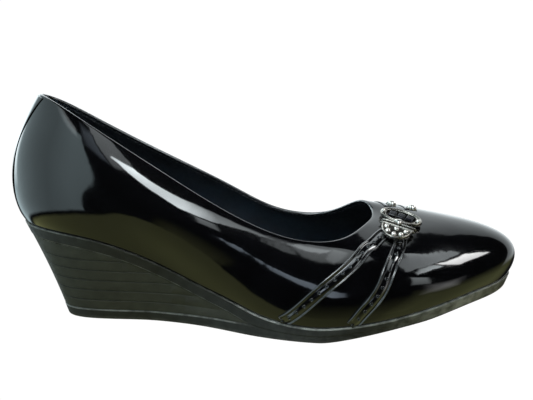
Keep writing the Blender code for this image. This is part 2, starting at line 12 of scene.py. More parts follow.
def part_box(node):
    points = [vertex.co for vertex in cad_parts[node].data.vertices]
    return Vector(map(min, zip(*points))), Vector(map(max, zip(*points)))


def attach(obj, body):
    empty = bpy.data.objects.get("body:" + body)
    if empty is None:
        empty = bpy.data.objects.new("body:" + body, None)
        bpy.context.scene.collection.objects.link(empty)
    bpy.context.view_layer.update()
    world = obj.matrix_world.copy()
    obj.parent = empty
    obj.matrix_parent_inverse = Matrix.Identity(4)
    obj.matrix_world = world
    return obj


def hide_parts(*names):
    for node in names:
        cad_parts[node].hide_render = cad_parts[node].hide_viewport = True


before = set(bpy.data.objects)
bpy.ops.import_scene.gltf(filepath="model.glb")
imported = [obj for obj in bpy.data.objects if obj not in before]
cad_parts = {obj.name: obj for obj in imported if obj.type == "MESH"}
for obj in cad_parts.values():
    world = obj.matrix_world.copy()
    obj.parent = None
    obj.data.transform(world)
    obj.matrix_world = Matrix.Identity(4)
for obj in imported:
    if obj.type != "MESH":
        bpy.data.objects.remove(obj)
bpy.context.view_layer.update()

bl_info = {
    "name": "Wedge Pump Dresser",
    "version": (1, 0, 0),
    "blender": (4, 5, 0),
    "location": "View3D > Sidebar > Pump",
    "description": "Builds the finished pieces of a wedge-heel pump and its studio",
    "category": "Object",
}

PHOTO_WIDTH = 533

# Sizes in metres, as in the solids.
SHOE_LENGTH = 0.238
BALL_WIDTH = 0.080
COLLAR_HEIGHT = 0.100
WALL = 0.0016
GAP = 0.0003
SEAT = 0.00005
EDGE_PROUD = 0.0006
BAND_HEIGHT = 0.0055
OUTSOLE_HEIGHT = 0.0048
ARCH_RISE = 0.0005
TOE_SPRING = 0.0172
TOE_CURL = 0.0012
PANEL_INSET = 0.0004

# Shares: of the length, of the toe's shift to one side, and of the way up the upper.
HEEL_FLAT_END = 0.294
BALL_FLAT_START = 0.496
BALL_FLAT_END = 0.600
TOE_END = 0.987
SPRING_SOFTNESS = 0.06
TOE_TOP_SHIFT = 0.6
BAND_FOOT = 0.006

# Cross-sections of the last from heel to toe, as shares of the length, the width and the height.
Section = namedtuple(
    "Section",
    "along skew centre half base_along base_half top_along top_half top_height"
    " tilt bulge rise reach curl drop",
)
LAST_ROWS = (
    (0.018, 0, 0, 0, 0.11, 0, 0.053, 0, 1.012, 0, 0.123, 0.16, 1.62, 0, 0.205),
    (0.06, 0, 0, 0.206, 0.116, 0.212, 0.082, 0.104, 0.987, 0.01, 0.135, 0.174, 0.91, 0.02, 0.15),
    (0.151, 0, 0, 0.329, 0.194, 0.277, 0.16, 0.21, 0.887, 0.021, 0.08, 0.161, 0.6, 0.13, 0.15),
    (0.303, 0, -0.009, 0.317, 0.309, 0.279, 0.286, 0.28, 0.721, 0.016, 0.05, 0.14, 0.7, 0.24, 0.19),
    (0.454, 0.011, -0.051, 0.336, 0.449, 0.361, 0.412, 0.313, 0.561, 0.004, 0.062, 0.12, 0.6, 0.13, 0.1),
    (0.643, 0.042, -0.02, 0.479, 0.642, 0.504, 0.538, 0.329, 0.433, 0.009, 0.063, 0.139, 0.55, 0, 0.07),
    (0.798, 0.034, -0.011, 0.44, 0.798, 0.439, 0.633, 0.296, 0.435, -0.003, 0.062, 0.152, 0.61, 0, 0.034),
    (0.925, 0.017, 0.017, 0.286, 0.924, 0.286, 0.687, 0.147, 0.499, -0.027, 0.082, 0.163, 0.57, 0, 0.061),
    (0.991, 0, 0.037, 0, 0.986, 0, 0.707, 0, 0.503, 0, 0.137, 0.215, 0.71, 0, 0.023),
)
LAST = [Section(*row) for row in LAST_ROWS]

# The feather line: places along the shoe and their heights.
FEATHER = (
    (0.025, 0.417), (0.168, 0.401), (0.250, 0.340), (0.313, 0.273), (0.374, 0.205),
    (0.437, 0.144), (0.489, 0.095), (0.534, 0.074), (0.592, 0.065), (0.647, 0.076),
    (0.710, 0.098), (0.807, 0.147), (0.891, 0.196), (0.987, 0.227),
)
Waypoint = namedtuple("Waypoint", "around up")


def route(*pairs):
    return tuple(Waypoint(*pair) for pair in pairs)


REAR_STRAP = route((0.522, 0.020), (0.575, 0.298), (0.635, 0.525), (0.719, 0.746))
REAR_STRAP_OUTER = REAR_STRAP + route((0.774, 0.819), (0.834, 0.861), (0.880, 0.868))
REAR_STRAP_INNER = REAR_STRAP + route((0.815, 0.845), (0.900, 0.893), (0.962, 0.920))
FRONT_STRAP = route((0.642, 0.015), (0.661, 0.150), (0.693, 0.311), (0.743, 0.542))
FRONT_STRAP_OUTER = FRONT_STRAP + route((0.812, 0.696), (0.868, 0.792))
FRONT_STRAP_INNER = FRONT_STRAP + route((0.812, 0.680), (0.900, 0.788), (0.976, 0.850))
BACK_STRIP = route((0, 0.006), (0, 0.35), (0, 0.7), (0, 0.985))

# Places on the flat ornament, in metres: along to the toe, down to the outer side.
ORNAMENT_AT = Waypoint(0.947, 0.890)
ORNAMENT_TURN = math.radians(25)
ORNAMENT_LIFT = 0.0008
ORNAMENT_BEND = 0.200
DISC_AHEAD = 0.0014
BAR_AHEAD = 0.0011
BAR_PLACES = (0.0066, 0.0088)
STONE_PLACES = (-0.0041, 0.0, 0.0041)
STUD_START = 0.01095
STUD_REACH = 0.0046
STUD_DEPTH = 0.0042
STUD_ANGLES = (3, 48, 91, 134, 177)
END_STUD_PLACES = (-0.0086, 0.0086)
END_STUD_DOWN = 0.0008
HEART_PLACE = (0.0007, 0.0064)
BEADS_AT = route((0.972, 0.926), (0.990, 0.860))


# The shape of the last.


def cubic_spline(knots, values, period=None):
    """A smooth curve through values at knots: closed with that period, or else with free ends."""
    knots = np.asarray(knots, float)
    values = np.asarray(values, float)
    if period is not None:
        knots = np.append(knots, knots[0] + period)
        values = np.concatenate([values, values[:1]])
    count = len(knots)
    step = np.diff(knots)
    slope = np.diff(values, axis=0) / step.reshape(-1, *[1] * (values.ndim - 1))
    matrix = np.zeros((count, count))
    right = np.zeros_like(values)
    for i in range(1, count - 1):
        matrix[i, i - 1 : i + 2] = step[i - 1], 2 * (step[i - 1] + step[i]), step[i]
        right[i] = 6 * (slope[i] - slope[i - 1])
    if period is None:
        matrix[0, 0] = matrix[-1, -1] = 1
    else:
        matrix[0, [0, 1, -2]] = 2 * (step[0] + step[-1]), step[0], step[-1]
        right[0] = 6 * (slope[0] - slope[-1])
        matrix[-1, [0, -1]] = 1, -1
    bend = np.linalg.solve(matrix, right)

    def curve(at):
        at = np.asarray(at, float)
        if period is not None:
            at = knots[0] + np.mod(at - knots[0], period)
        i = np.clip(np.searchsorted(knots, at, side="right") - 1, 0, count - 2)
        shape = at.shape + (1,) * (values.ndim - 1)
        h = step[i].reshape(shape)
        after = (at - knots[i]).reshape(shape) / h
        before = 1 - after
        swing = (before**3 - before) * bend[i] + (after**3 - after) * bend[i + 1]
        return before * values[i] + after * values[i + 1] + h * h / 6 * swing

    return curve


feather_profile = cubic_spline(*zip(*FEATHER))


def feather_height(x):
    share = np.clip(np.asarray(x) / SHOE_LENGTH, FEATHER[0][0], FEATHER[-1][0])
    return feather_profile(share) * COLLAR_HEIGHT


def base_height(x):
    """The underside: flat at heel and ball, a slight arch between them and the toe spring ahead."""
    share = np.asarray(x) / SHOE_LENGTH
    arch = np.clip((share - HEEL_FLAT_END) / (BALL_FLAT_START - HEEL_FLAT_END), 0, 1)
    ahead = np.clip((share - BALL_FLAT_END) / (TOE_END - BALL_FLAT_END), 0, None)
    lift = np.hypot(ahead, SPRING_SOFTNESS) - SPRING_SOFTNESS
    full_lift = math.hypot(1, SPRING_SOFTNESS) - SPRING_SOFTNESS
    curl = np.sin(math.pi * np.clip(2 * ahead - 1, 0, 1)) ** 2
    return ARCH_RISE * np.sin(math.pi * arch) ** 2 + TOE_SPRING * lift / full_lift + TOE_CURL * curl


def around(station):
    """A closed loop of stations: heel, outer side (side -1), toe and back along the inner side (+1)."""
    outer = [station(section, -1) for section in LAST]
    inner = [station(section, 1) for section in LAST[-2:0:-1]]
    return np.array(outer + inner)


def feather_station(section, side):
    x = (section.along + side * section.skew) * SHOE_LENGTH
    return x, (section.centre + side * section.half) * BALL_WIDTH


def topline_station(section, side):
    shift = section.centre * TOE_TOP_SHIFT if section.half == 0 else 0
    height = (section.top_height - side * section.tilt) * COLLAR_HEIGHT
    return section.top_along * SHOE_LENGTH, (shift + side * section.top_half) * BALL_WIDTH, height


def base_station(section, side):
    x = (section.base_along + side * section.skew) * SHOE_LENGTH
    return x, (section.centre + side * section.base_half) * BALL_WIDTH


def column(name):
    return around(lambda section, side: (getattr(section, name),))


FEATHER_STATIONS = around(feather_station)
STEPS = np.linalg.norm(np.roll(FEATHER_STATIONS, -1, axis=0) - FEATHER_STATIONS, axis=1)
KNOTS = np.concatenate([[0], np.cumsum(STEPS)[:-1]])
PERIMETER = float(STEPS.sum())
TOE_KNOT = float(KNOTS[len(LAST) - 1])
feather_plan = cubic_spline(KNOTS, FEATHER_STATIONS, PERIMETER)
base_plan = cubic_spline(KNOTS, around(base_station), PERIMETER)


def outward(s):
    """The unit vector in plan that points out of the feather edge at s."""
    near = PERIMETER * 1e-5
    ahead = feather_plan(np.asarray(s) + near) - feather_plan(np.asarray(s) - near)
    ahead = ahead / np.linalg.norm(ahead, axis=-1, keepdims=True)
    return np.stack([ahead[..., 1], -ahead[..., 0]], axis=-1)


TOPLINE_STATIONS = around(topline_station)
FEATHER_POINTS = np.column_stack([FEATHER_STATIONS, feather_height(FEATHER_STATIONS[:, 0])])
WALL_RISE = np.hstack([outward(KNOTS) * column("bulge") * BALL_WIDTH, column("rise") * COLLAR_HEIGHT])
CROWN_WAY = (FEATHER_STATIONS - TOPLINE_STATIONS[:, :2]) * column("reach")
CROWN_OUT = CROWN_WAY + outward(KNOTS) * column("curl") * BALL_WIDTH
CROWN_DROP = np.hstack([CROWN_OUT, -column("drop") * COLLAR_HEIGHT])
wall_loop = cubic_spline(KNOTS, FEATHER_POINTS + WALL_RISE, PERIMETER)
crown_loop = cubic_spline(KNOTS, TOPLINE_STATIONS + CROWN_DROP, PERIMETER)
topline_loop = cubic_spline(KNOTS, TOPLINE_STATIONS, PERIMETER)


def feather_loop(s):
    plan = feather_plan(s)
    return np.concatenate([plan, feather_height(plan[..., :1])], axis=-1)


def upper_point(s, v):
    """The outside of the upper. s runs round the feather edge; v is 0 at the sole and 1 at the topline."""
    v = np.asarray(v, float)[..., None]
    w = 1 - v
    low = w**3 * feather_loop(s) + 3 * w * w * v * wall_loop(s)
    return low + 3 * w * v * v * crown_loop(s) + v**3 * topline_loop(s)


def upper_slopes(s, v):
    """How the outside of the upper moves with s and with v."""
    ds = PERIMETER * 1e-4
    dv = 1e-4
    along = (upper_point(s + ds, v) - upper_point(s - ds, v)) / (2 * ds)
    up = (upper_point(s, v + dv) - upper_point(s, v - dv)) / (2 * dv)
    return along, up


def unit(vectors):
    return vectors / np.linalg.norm(vectors, axis=-1, keepdims=True)


def upper_normal(s, v):
    return unit(np.cross(*upper_slopes(s, v)))


def side_place(share, side):
    """The place round the feather edge at a share of the way from heel to toe, on one side."""
    if side < 0:
        return share * TOE_KNOT
    return PERIMETER - share * (PERIMETER - TOE_KNOT)


def ring(count):
    """Places round the feather edge with as many on the outer as on the inner side."""
    outer = np.linspace(0, TOE_KNOT, count // 2, endpoint=False)
    inner = np.linspace(TOE_KNOT, PERIMETER, count // 2, endpoint=False)
    return np.concatenate([outer, inner])


def solid_shift():
    """How far the solids were moved to stand in the middle of the frame."""
    s, v = np.meshgrid(ring(64), np.linspace(0, 1, 11))
    points = upper_point(s, v).reshape(-1, 3)
    low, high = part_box("upper")
    middle = (np.array(low) + np.array(high) - points.min(0) - points.max(0)) / 2
    return np.array([middle[0], middle[1], 0])


SHIFT = solid_shift()


# Mesh helpers.


def new_piece(name, points, faces, materials, face_materials=None, smooth=True, wear_and_highlight=None):
    """A finished piece at the origin, with its place in its mesh and, at each point, its scuffs and
    painted light.
    """
    mesh = bpy.data.meshes.new(name)
    mesh.from_pydata((np.asarray(points) + SHIFT).tolist(), [], faces)
    if wear_and_highlight is not None:
        wear_and_highlight_level = mesh.attributes.new("wear_and_highlight", "FLOAT", "POINT")
        wear_and_highlight_level.data.foreach_set("value", np.asarray(wear_and_highlight, np.float32))
    for material in materials:
        mesh.materials.append(material)
    if face_materials is not None:
        mesh.polygons.foreach_set("material_index", np.asarray(face_materials, np.int32))
    return finish_mesh(name, mesh, smooth)


def finish_mesh(name, mesh, smooth=True):
    """Merges doubles, turns the faces out and makes the object."""
    shape = bmesh.new()
    shape.from_mesh(mesh)
    bmesh.ops.remove_doubles(shape, verts=shape.verts, dist=2e-6)
    bmesh.ops.dissolve_degenerate(shape, dist=1e-6, edges=shape.edges)
    bmesh.ops.recalc_face_normals(shape, faces=shape.faces)
    shape.to_mesh(mesh)
    shape.free()
    mesh.polygons.foreach_set("use_smooth", [smooth] * len(mesh.polygons))
    return add_object(name, mesh)


def add_object(name, data):
    obj = bpy.data.objects.new(name, data)
    bpy.context.scene.collection.objects.link(obj)
    return obj


def dress(obj, slot, *nodes):
    """Puts a finished piece on the shoe."""
    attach(obj, "root")
    if nodes:
        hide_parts(*nodes)
    return obj


def band_faces(rows, columns, closed):
    """Quads between following rows of points."""
    faces = []
    for r in range(rows - 1):
        for c in range(columns if closed else columns - 1):
            n = (c + 1) % columns
            low, high = r * columns, (r + 1) * columns
            faces.append((low + c, low + n, high + n, high + c))
    return faces


def closed_faces(rows, columns):
    """Quads between following closed rows, with one face across each end."""
    last = (rows - 1) * columns
    ends = [tuple(range(columns)), tuple(range(last, last + columns))]
    return band_faces(rows, columns, True) + ends


def cap_faces(start, columns):
    """Quads across a closed row, each from the outer side to the inner side."""
    faces = []
    for i in range(columns // 2):
        corners = (i, i + 1, columns - i - 1, (columns - i) % columns)
        faces.append(tuple(start + c for c in dict.fromkeys(corners)))
    return faces


def stack(name, loops, material, wear_and_highlight=None):
    """A closed piece from closed loops of points, one over the other, each with its scuffs and painted
    highlights.
    """
    columns = len(loops[0])
    faces = band_faces(len(loops), columns, True)
    faces += cap_faces(0, columns) + cap_faces((len(loops) - 1) * columns, columns)
    if wear_and_highlight is not None:
        wear_and_highlight = np.concatenate([np.broadcast_to(w, columns) for w in wear_and_highlight])
    return new_piece(name, np.concatenate(loops), faces, [material], wear_and_highlight=wear_and_highlight)


def sharpen(obj, degrees):
    """Keeps edges sharper than an angle crisp in the shading."""
    shape = bmesh.new()
    shape.from_mesh(obj.data)
    limit = math.radians(degrees)
    for edge in shape.edges:
        edge.smooth = not (edge.is_manifold and edge.calc_face_angle() > limit)
    shape.to_mesh(obj.data)
    shape.free()


# Materials.


def add_node(tree, kind, settings=None, **inputs):
    """A new node with its settings. An input given as a socket is linked and any other is set."""
    node = tree.nodes.new(kind)
    for name, value in (settings or {}).items():
        setattr(node, name, value)
    for name, value in inputs.items():
        socket = node.inputs[name.replace("_", " ")]
        if isinstance(value, bpy.types.NodeSocket):
            tree.links.new(value, socket)
        else:
            socket.default_value = value
    return node


class Finish:
    """A material under construction: a node tree with a Principled shader."""

    def __init__(self, name, colour, roughness, **sockets):
        self.material = bpy.data.materials.new(name)
        self.material.use_nodes = True
        self.material.diffuse_color = (*colour, 1)
        self.tree = self.material.node_tree
        self.shader = self.tree.nodes["Principled BSDF"].inputs
        self.place = self.tree.nodes.new("ShaderNodeTexCoord").outputs["Object"]
        self.relief = None
        self.shader["Base Color"].default_value = (*colour, 1)
        self.shader["Roughness"].default_value = roughness
        for socket, value in sockets.items():
            self.shader[socket.replace("_", " ")].default_value = value

    def noise(self, scale, detail=2, stretch=(1, 1, 1)):
        """A noise over the surface; scale is in waves to the metre."""
        at = add_node(self.tree, "ShaderNodeMapping", Vector=self.place, Scale=stretch).outputs["Vector"]
        noise = add_node(self.tree, "ShaderNodeTexNoise", Vector=at, Scale=scale, Detail=detail)
        return noise.outputs["Fac"]

    def grain(self, scale, feature="F1"):
        settings = {"feature": feature}
        cells = add_node(self.tree, "ShaderNodeTexVoronoi", settings, Vector=self.place, Scale=scale)
        return cells.outputs["Distance"]

    def twist(self, scale):
        settings = {"bands_direction": "DIAGONAL"}
        inputs = dict(Vector=self.place, Scale=scale, Distortion=1.0)
        return add_node(self.tree, "ShaderNodeTexWave", settings, **inputs).outputs["Fac"]

    def between(self, source, low, high, out_low, out_high):
        limits = dict(From_Min=low, From_Max=high, To_Min=out_low, To_Max=out_high)
        return add_node(self.tree, "ShaderNodeMapRange", Value=source, **limits).outputs["Result"]

    def mottled(self, colour, source, *stops):
        """A colour in patches; each stop is a place on the source and a shade of the colour."""
        ramp = add_node(self.tree, "ShaderNodeValToRGB", Fac=source)
        elements = ramp.color_ramp.elements
        while len(elements) < len(stops):
            elements.new(1)
        for element, (place, shade) in zip(elements, stops):
            element.position = place
            element.color = (*(c * shade for c in colour), 1)
        return ramp.outputs["Color"]

    def colour(self, source):
        self.tree.links.new(source, self.shader["Base Color"])

    def roughness(self, scale, detail, smoothest, roughest, low=0.3, high=0.7):
        """Roughness in patches of a noise, which is read from low to high."""
        source = self.between(self.noise(scale, detail), low, high, smoothest, roughest)
        self.tree.links.new(source, self.shader["Roughness"])

    def bump(self, source, height, coat=False):
        """Adds relief of a height in metres on top of what there is."""
        below = {} if self.relief is None else {"Normal": self.relief}
        bump = add_node(self.tree, "ShaderNodeBump", Strength=1, Distance=height, Height=source, **below)
        self.relief = bump.outputs["Normal"]
        for socket in ("Normal", "Coat Normal") if coat else ("Normal",):
            self.tree.links.new(self.relief, self.shader[socket])


def patent_finish(name, leather, bend, gloss=1.3):
    """Patent leather: a lacquer with broad soft dents, fine orange peel and a little dust."""
    lacquer = dict(Coat_Weight=1.0, Coat_Roughness=0.02, Coat_IOR=1.5, IOR=gloss)
    finish = Finish(name, leather, 0.10, **lacquer)
    finish.colour(finish.mottled(leather, finish.noise(90, 3), (0.35, 0.6), (0.7, 1.5)))
    finish.roughness(900, 3, 0.07, 0.16, 0.35, 0.75)
    for scale, detail, height in ((55, 1, bend), (190, 1, bend * 0.16), (1500, 2, 0.000003)):
        finish.bump(finish.noise(scale, detail), height, coat=True)
    return finish.material


def rubber_finish(name, colours, shade, gloss):
    """Moulded rubber: olive grey with a fine pebbled skin, made pale by scuffs and painted highlights."""
    base = [c * shade for c in colours.rubber]
    finish = Finish(name, base, 0.42, Specular_IOR_Level=gloss)
    patches = finish.noise(160, 5, (1, 1, 1.6))
    skin = finish.mottled(base, patches, (0.30, 0.84), (0.55, 1), (0.80, 1.18))
    # The mesh's level of scuffs and painted highlights mixes the rubber, in patches, towards a pale grey.
    wear_and_highlight_level = add_node(finish.tree, "ShaderNodeAttribute", {"attribute_name": "wear_and_highlight"}).outputs["Fac"]
    patchy_wear_and_highlight = add_node(finish.tree, "ShaderNodeMath", {"operation": "MULTIPLY"}, Value=wear_and_highlight_level)
    patchy = finish.between(finish.noise(220, 3), 0.32, 0.62, 0.25, 1.0)
    finish.tree.links.new(patchy, patchy_wear_and_highlight.inputs[1])
    inputs = dict(Factor=patchy_wear_and_highlight.outputs["Value"], A=skin, B=(*colours.pale_wear_and_highlight, 1))
    mix = add_node(finish.tree, "ShaderNodeMix", {"data_type": "RGBA"}, **inputs)
    finish.colour(mix.outputs["Result"])
    finish.roughness(420, 4, 0.40, 0.62)
    finish.bump(finish.noise(300, 2), 0.00004)
    finish.bump(finish.grain(2600), 0.00002)
    return finish.material


def lining_finish(name, colour):
    """Dark leather lining with a soft grain."""
    finish = Finish(name, colour, 0.5, Sheen_Weight=0.05)
    finish.colour(finish.mottled(colour, finish.noise(120, 4), (0.3, 0.7), (0.7, 1.4)))
    finish.roughness(500, 3, 0.42, 0.62)
    finish.bump(finish.grain(1500, "SMOOTH_F1"), 0.00005)
    finish.bump(finish.noise(80, 2), 0.0001)
    return finish.material


def metal_finish(name, colour, smoothest, roughest):
    """Plated metal, warm grey, with tarnish in patches and hairline polish marks."""
    finish = Finish(name, colour, smoothest, Metallic=1.0)
    finish.colour(finish.mottled(colour, finish.noise(500, 4), (0.32, 0.75), (0.58, 1), (0.8, 1.15)))
    finish.roughness(900, 3, smoothest, roughest)
    finish.bump(finish.noise(2200, 3), 0.000008)
    return finish.material


def stone_finish(name, colour):
    """Black glass stones with a faint cloud inside."""
    finish = Finish(name, colour, 0.04, Coat_Weight=0.1, Coat_Roughness=0.01, IOR=1.25)
    finish.colour(finish.mottled(colour, finish.noise(900, 3), (0.35, 0.5), (0.7, 2.2)))
    finish.roughness(1600, 2, 0.02, 0.08)
    return finish.material


def thread_finish(name, colour):
    """Twisted thread."""
    finish = Finish(name, colour, 0.55, Sheen_Weight=0.3)
    finish.colour(finish.mottled(colour, finish.noise(2500, 2), (0.3, 0.7), (0.7, 1)))
    finish.bump(finish.twist(900), 0.00008)
    return finish.material


MATERIALS = {}


def finish_of(context, name):
    """The finishes of the shoe, each made once."""
    if name not in MATERIALS:
        colours = context.scene.pump_colours
        dents = context.scene.pump_leather.dents
        makers = {
            "patent": (patent_finish, "patent_leather", colours.leather, dents),
            "strap_patent": (patent_finish, "strap_patent", colours.leather, dents * 0.4, 1.6),
            # The folded edge finish is a painted highlight: patent leather with a pale grey base on the
            # crest of the topline roll.
            "fold": (patent_finish, "folded_edge", colours.fold, dents * 0.2),
            "rubber": (rubber_finish, "sole_rubber", colours, 0.62, 0.3),
            "wedge_rubber": (rubber_finish, "wedge_rubber", colours, 2.0, 0.2),
            "lining": (lining_finish, "upper_lining", colours.lining),
            "sock": (lining_finish, "sock_leather", colours.lining),
            "hole": (lining_finish, "hole_shadow", colours.lining),
            "metal": (metal_finish, "gunmetal", colours.metal, 0.16, 0.34),
            "bright_metal": (metal_finish, "polished_metal", colours.bright_metal, 0.10, 0.22),
            "dark_metal": (metal_finish, "gunmetal_shadow", colours.dark_metal, 0.3, 0.5),
            "stone": (stone_finish, "black_stone", colours.stone),
            "thread": (thread_finish, "pale_thread", colours.thread),
        }
        maker, *arguments = makers[name]
        MATERIALS[name] = maker(*arguments)
    return MATERIALS[name]


# Node trees for what repeats along a path.


def path_tree(name, *sizes):
    """A tree that sets one shape after the other along a path, upright on its surface."""
    tree = bpy.data.node_groups.new(name, "GeometryNodeTree")
    tree.interface.new_socket("Geometry", in_out="OUTPUT", socket_type="NodeSocketGeometry")
    kinds = {"Path": "Geometry", "Pitch": "Float", "Material": "Material"}
    for label, kind in (kinds | dict.fromkeys(sizes, "Float")).items():
        tree.interface.new_socket(label, in_out="INPUT", socket_type=f"NodeSocket{kind}")
    start = tree.nodes.new("NodeGroupInput").outputs

    def add(output, kind, settings=None, **inputs):
        return add_node(tree, kind, settings, **inputs).outputs[output]

    curve = add("Curve", "GeometryNodeMeshToCurve", Mesh=start["Path"])
    steps = dict(Curve=curve, Length=start["Pitch"])
    places = add("Curve", "GeometryNodeResampleCurve", {"mode": "LENGTH"}, **steps)
    named = "GeometryNodeInputNamedAttribute"
    out = add("Attribute", named, {"data_type": "FLOAT_VECTOR"}, Name="out")
    align = "FunctionNodeAlignRotationToVector"
    upright = add("Rotation", align, {"axis": "Z"}, Vector=out)
    tangent = add("Tangent", "GeometryNodeInputTangent")
    axes = {"axis": "X", "pivot_axis": "Z"}
    ahead = add("Rotation", align, axes, Rotation=upright, Vector=tangent)
    copies = add_node(tree, "GeometryNodeInstanceOnPoints", Points=places, Rotation=ahead)
    real = add("Geometry", "GeometryNodeRealizeInstances", Geometry=copies.outputs["Instances"])
    paint = add("Geometry", "GeometryNodeSetMaterial", Geometry=real, Material=start["Material"])
    add_node(tree, "NodeGroupOutput", Geometry=paint)
    return tree, start, copies.inputs


def ball_tree(name, segments, *sizes):
    """Balls drawn out to three sizes: along the path, across it and up."""
    tree, start, copies = path_tree(name, *sizes)
    ball = add_node(tree, "GeometryNodeMeshUVSphere", Segments=segments, Rings=6, Radius=1)
    reach = dict(zip("XYZ", (start[size] for size in sizes)))
    size = add_node(tree, "ShaderNodeCombineXYZ", **reach)
    inputs = dict(Geometry=ball.outputs["Mesh"], Scale=size.outputs["Vector"])
    drawn = add_node(tree, "GeometryNodeTransform", **inputs)
    tree.links.new(drawn.outputs["Geometry"], copies["Instance"])
    return tree


def ring_tree():
    """Rings: the rolled rims of punched holes."""
    tree, start, copies = path_tree("ring_row", "Hole radius", "Rim radius")
    circle = "GeometryNodeCurvePrimitiveCircle"
    hole = add_node(tree, circle, Resolution=18, Radius=start["Hole radius"]).outputs["Curve"]
    rim = add_node(tree, circle, Resolution=8, Radius=start["Rim radius"]).outputs["Curve"]
    tube = add_node(tree, "GeometryNodeCurveToMesh", Curve=hole, Profile_Curve=rim)
    tree.links.new(tube.outputs["Mesh"], copies["Instance"])
    return tree


def bar_tree():
    """Bars across the path, each as long as the span that the path carries there."""
    tree, start, copies = path_tree("bar_row", "Bar width", "Bar height")
    vector = "ShaderNodeCombineXYZ"
    size = add_node(tree, vector, X=start["Bar width"], Y=1, Z=start["Bar height"])
    bar = add_node(tree, "GeometryNodeMeshCube", Vertices_Y=7, Size=size.outputs["Vector"])
    tree.links.new(bar.outputs["Mesh"], copies["Instance"])
    span = add_node(tree, "GeometryNodeInputNamedAttribute", {"data_type": "FLOAT"}, Name="span")
    scale = add_node(tree, vector, X=1, Y=span.outputs["Attribute"], Z=1)
    tree.links.new(scale.outputs["Vector"], copies["Scale"])
    return tree


TREES = {}


def tree_of(name):
    if name not in TREES:
        makers = {
            "stitch": (ball_tree, "stitch_row", 8, "Half length", "Thread width", "Thread height"),
            "plug": (ball_tree, "plug_row", 14, "Plug length", "Plug width", "Plug height"),
            "ring": (ring_tree,),
            "bar": (bar_tree,),
        }
        maker, *arguments = makers[name]
        TREES[name] = maker(*arguments)
    return TREES[name]


def row_on_path(name, points, normals, kind, finish, slot, spans=None, **sizes):
    """Sets a row of shapes along points with their surface normals and dresses the result."""
    path = bpy.data.meshes.new(name + "_path")
    edges = [(i, i + 1) for i in range(len(points) - 1)]
    path.from_pydata((np.asarray(points) + SHIFT).tolist(), edges, [])
    out = path.attributes.new("out", "FLOAT_VECTOR", "POINT")
    out.data.foreach_set("vector", np.asarray(normals, np.float32).ravel())
    if spans is not None:
        span = path.attributes.new("span", "FLOAT", "POINT")
        span.data.foreach_set("value", np.asarray(spans, np.float32))
    carrier = add_object(name + "_path", path)
    row = carrier.modifiers.new("row", "NODES")
    row.node_group = tree_of(kind)
    labels = {item.name: item.identifier for item in row.node_group.interface.items_tree}
    row[labels["Material"]] = finish_of(bpy.context, finish)
    for key, value in sizes.items():
        row[labels[key.replace("_", " ").capitalize()]] = value
    bpy.context.view_layer.update()
    evaluated = carrier.evaluated_get(bpy.context.evaluated_depsgraph_get())
    mesh = bpy.data.meshes.new_from_object(evaluated)
    bpy.data.objects.remove(carrier, do_unlink=True)
    if not mesh.polygons:
        raise RuntimeError(f"the row {name} came out empty")
    return dress(finish_mesh(name, mesh), slot)


# Sizes and colours that a user would change.


def size_prop(name, description, default):
    return bpy.props.FloatProperty(
        name=name, description=description, default=default, min=0, precision=5, unit="LENGTH"
    )


def colour_prop(name, description, default):
    return bpy.props.FloatVectorProperty(
        name=name, description=description, default=default, size=3, min=0, max=1, subtype="COLOR"
    )


def angle_prop(name, description, degrees):
    return bpy.props.FloatProperty(
        name=name, description=description, default=math.radians(degrees), subtype="ANGLE"
    )


class PumpLeather(bpy.types.PropertyGroup):
    """Sizes of the leather pieces."""

    dents: size_prop("Dents", "Depth of the broad soft dents in the lacquer", 0.00022)
    strap_width: size_prop("Strap width", "Width of the vamp straps", 0.0060)
    strap_thick: size_prop("Strap thickness", "Thickness of the vamp straps", 0.0009)
    strip_width: size_prop("Back strip width", "Width of the strip over the back seam", 0.0120)
    strip_thick: size_prop("Back strip thickness", "Thickness of the back strip", 0.0004)
    hole_pitch: size_prop("Hole pitch", "Distance between the punched holes of a strap", 0.0043)
    hole_radius: size_prop("Hole radius", "Radius of the punched holes", 0.00066)
    stitch_pitch: size_prop("Stitch pitch", "Distance between stitches", 0.0022)
    thread_radius: size_prop("Thread radius", "Radius of the sewing thread", 0.00013)
    edge_stitch: size_prop("Edge stitch", "Distance of the stitches from the topline", 0.0024)


class PumpSole(bpy.types.PropertyGroup):
    """Sizes of the sole, the wedge heel and the sock."""

    edge_round: size_prop("Edge rounding", "Radius of the rounded edges of the sole", 0.0007)
    rib_first: size_prop("First rib", "Height of the lowest groove of the wedge", 0.0097)
    rib_pitch: size_prop("Rib pitch", "Distance between the grooves of the wedge", 0.0050)
    rib_half: size_prop("Rib half width", "Half width of a groove of the wedge", 0.00042)
    rib_depth: size_prop("Rib depth", "Depth of the grooves of the wedge", 0.00038)
    rib_count: bpy.props.IntProperty(
        name="Rib count", description="Grooves of the wedge", default=5, min=0
    )
    sock_thick: size_prop("Sock thickness", "Thickness of the footbed", 0.0022)
    sock_inset: size_prop("Sock inset", "Distance of the footbed from the feather edge", 0.0026)
    tread_pitch: size_prop("Tread pitch", "Distance between the bars of the tread", 0.0052)
    tread_bar: size_prop("Tread bar", "Width of a bar of the tread", 0.0026)
    tread_depth: size_prop("Tread depth", "Depth of the tread inside its border", 0.0008)


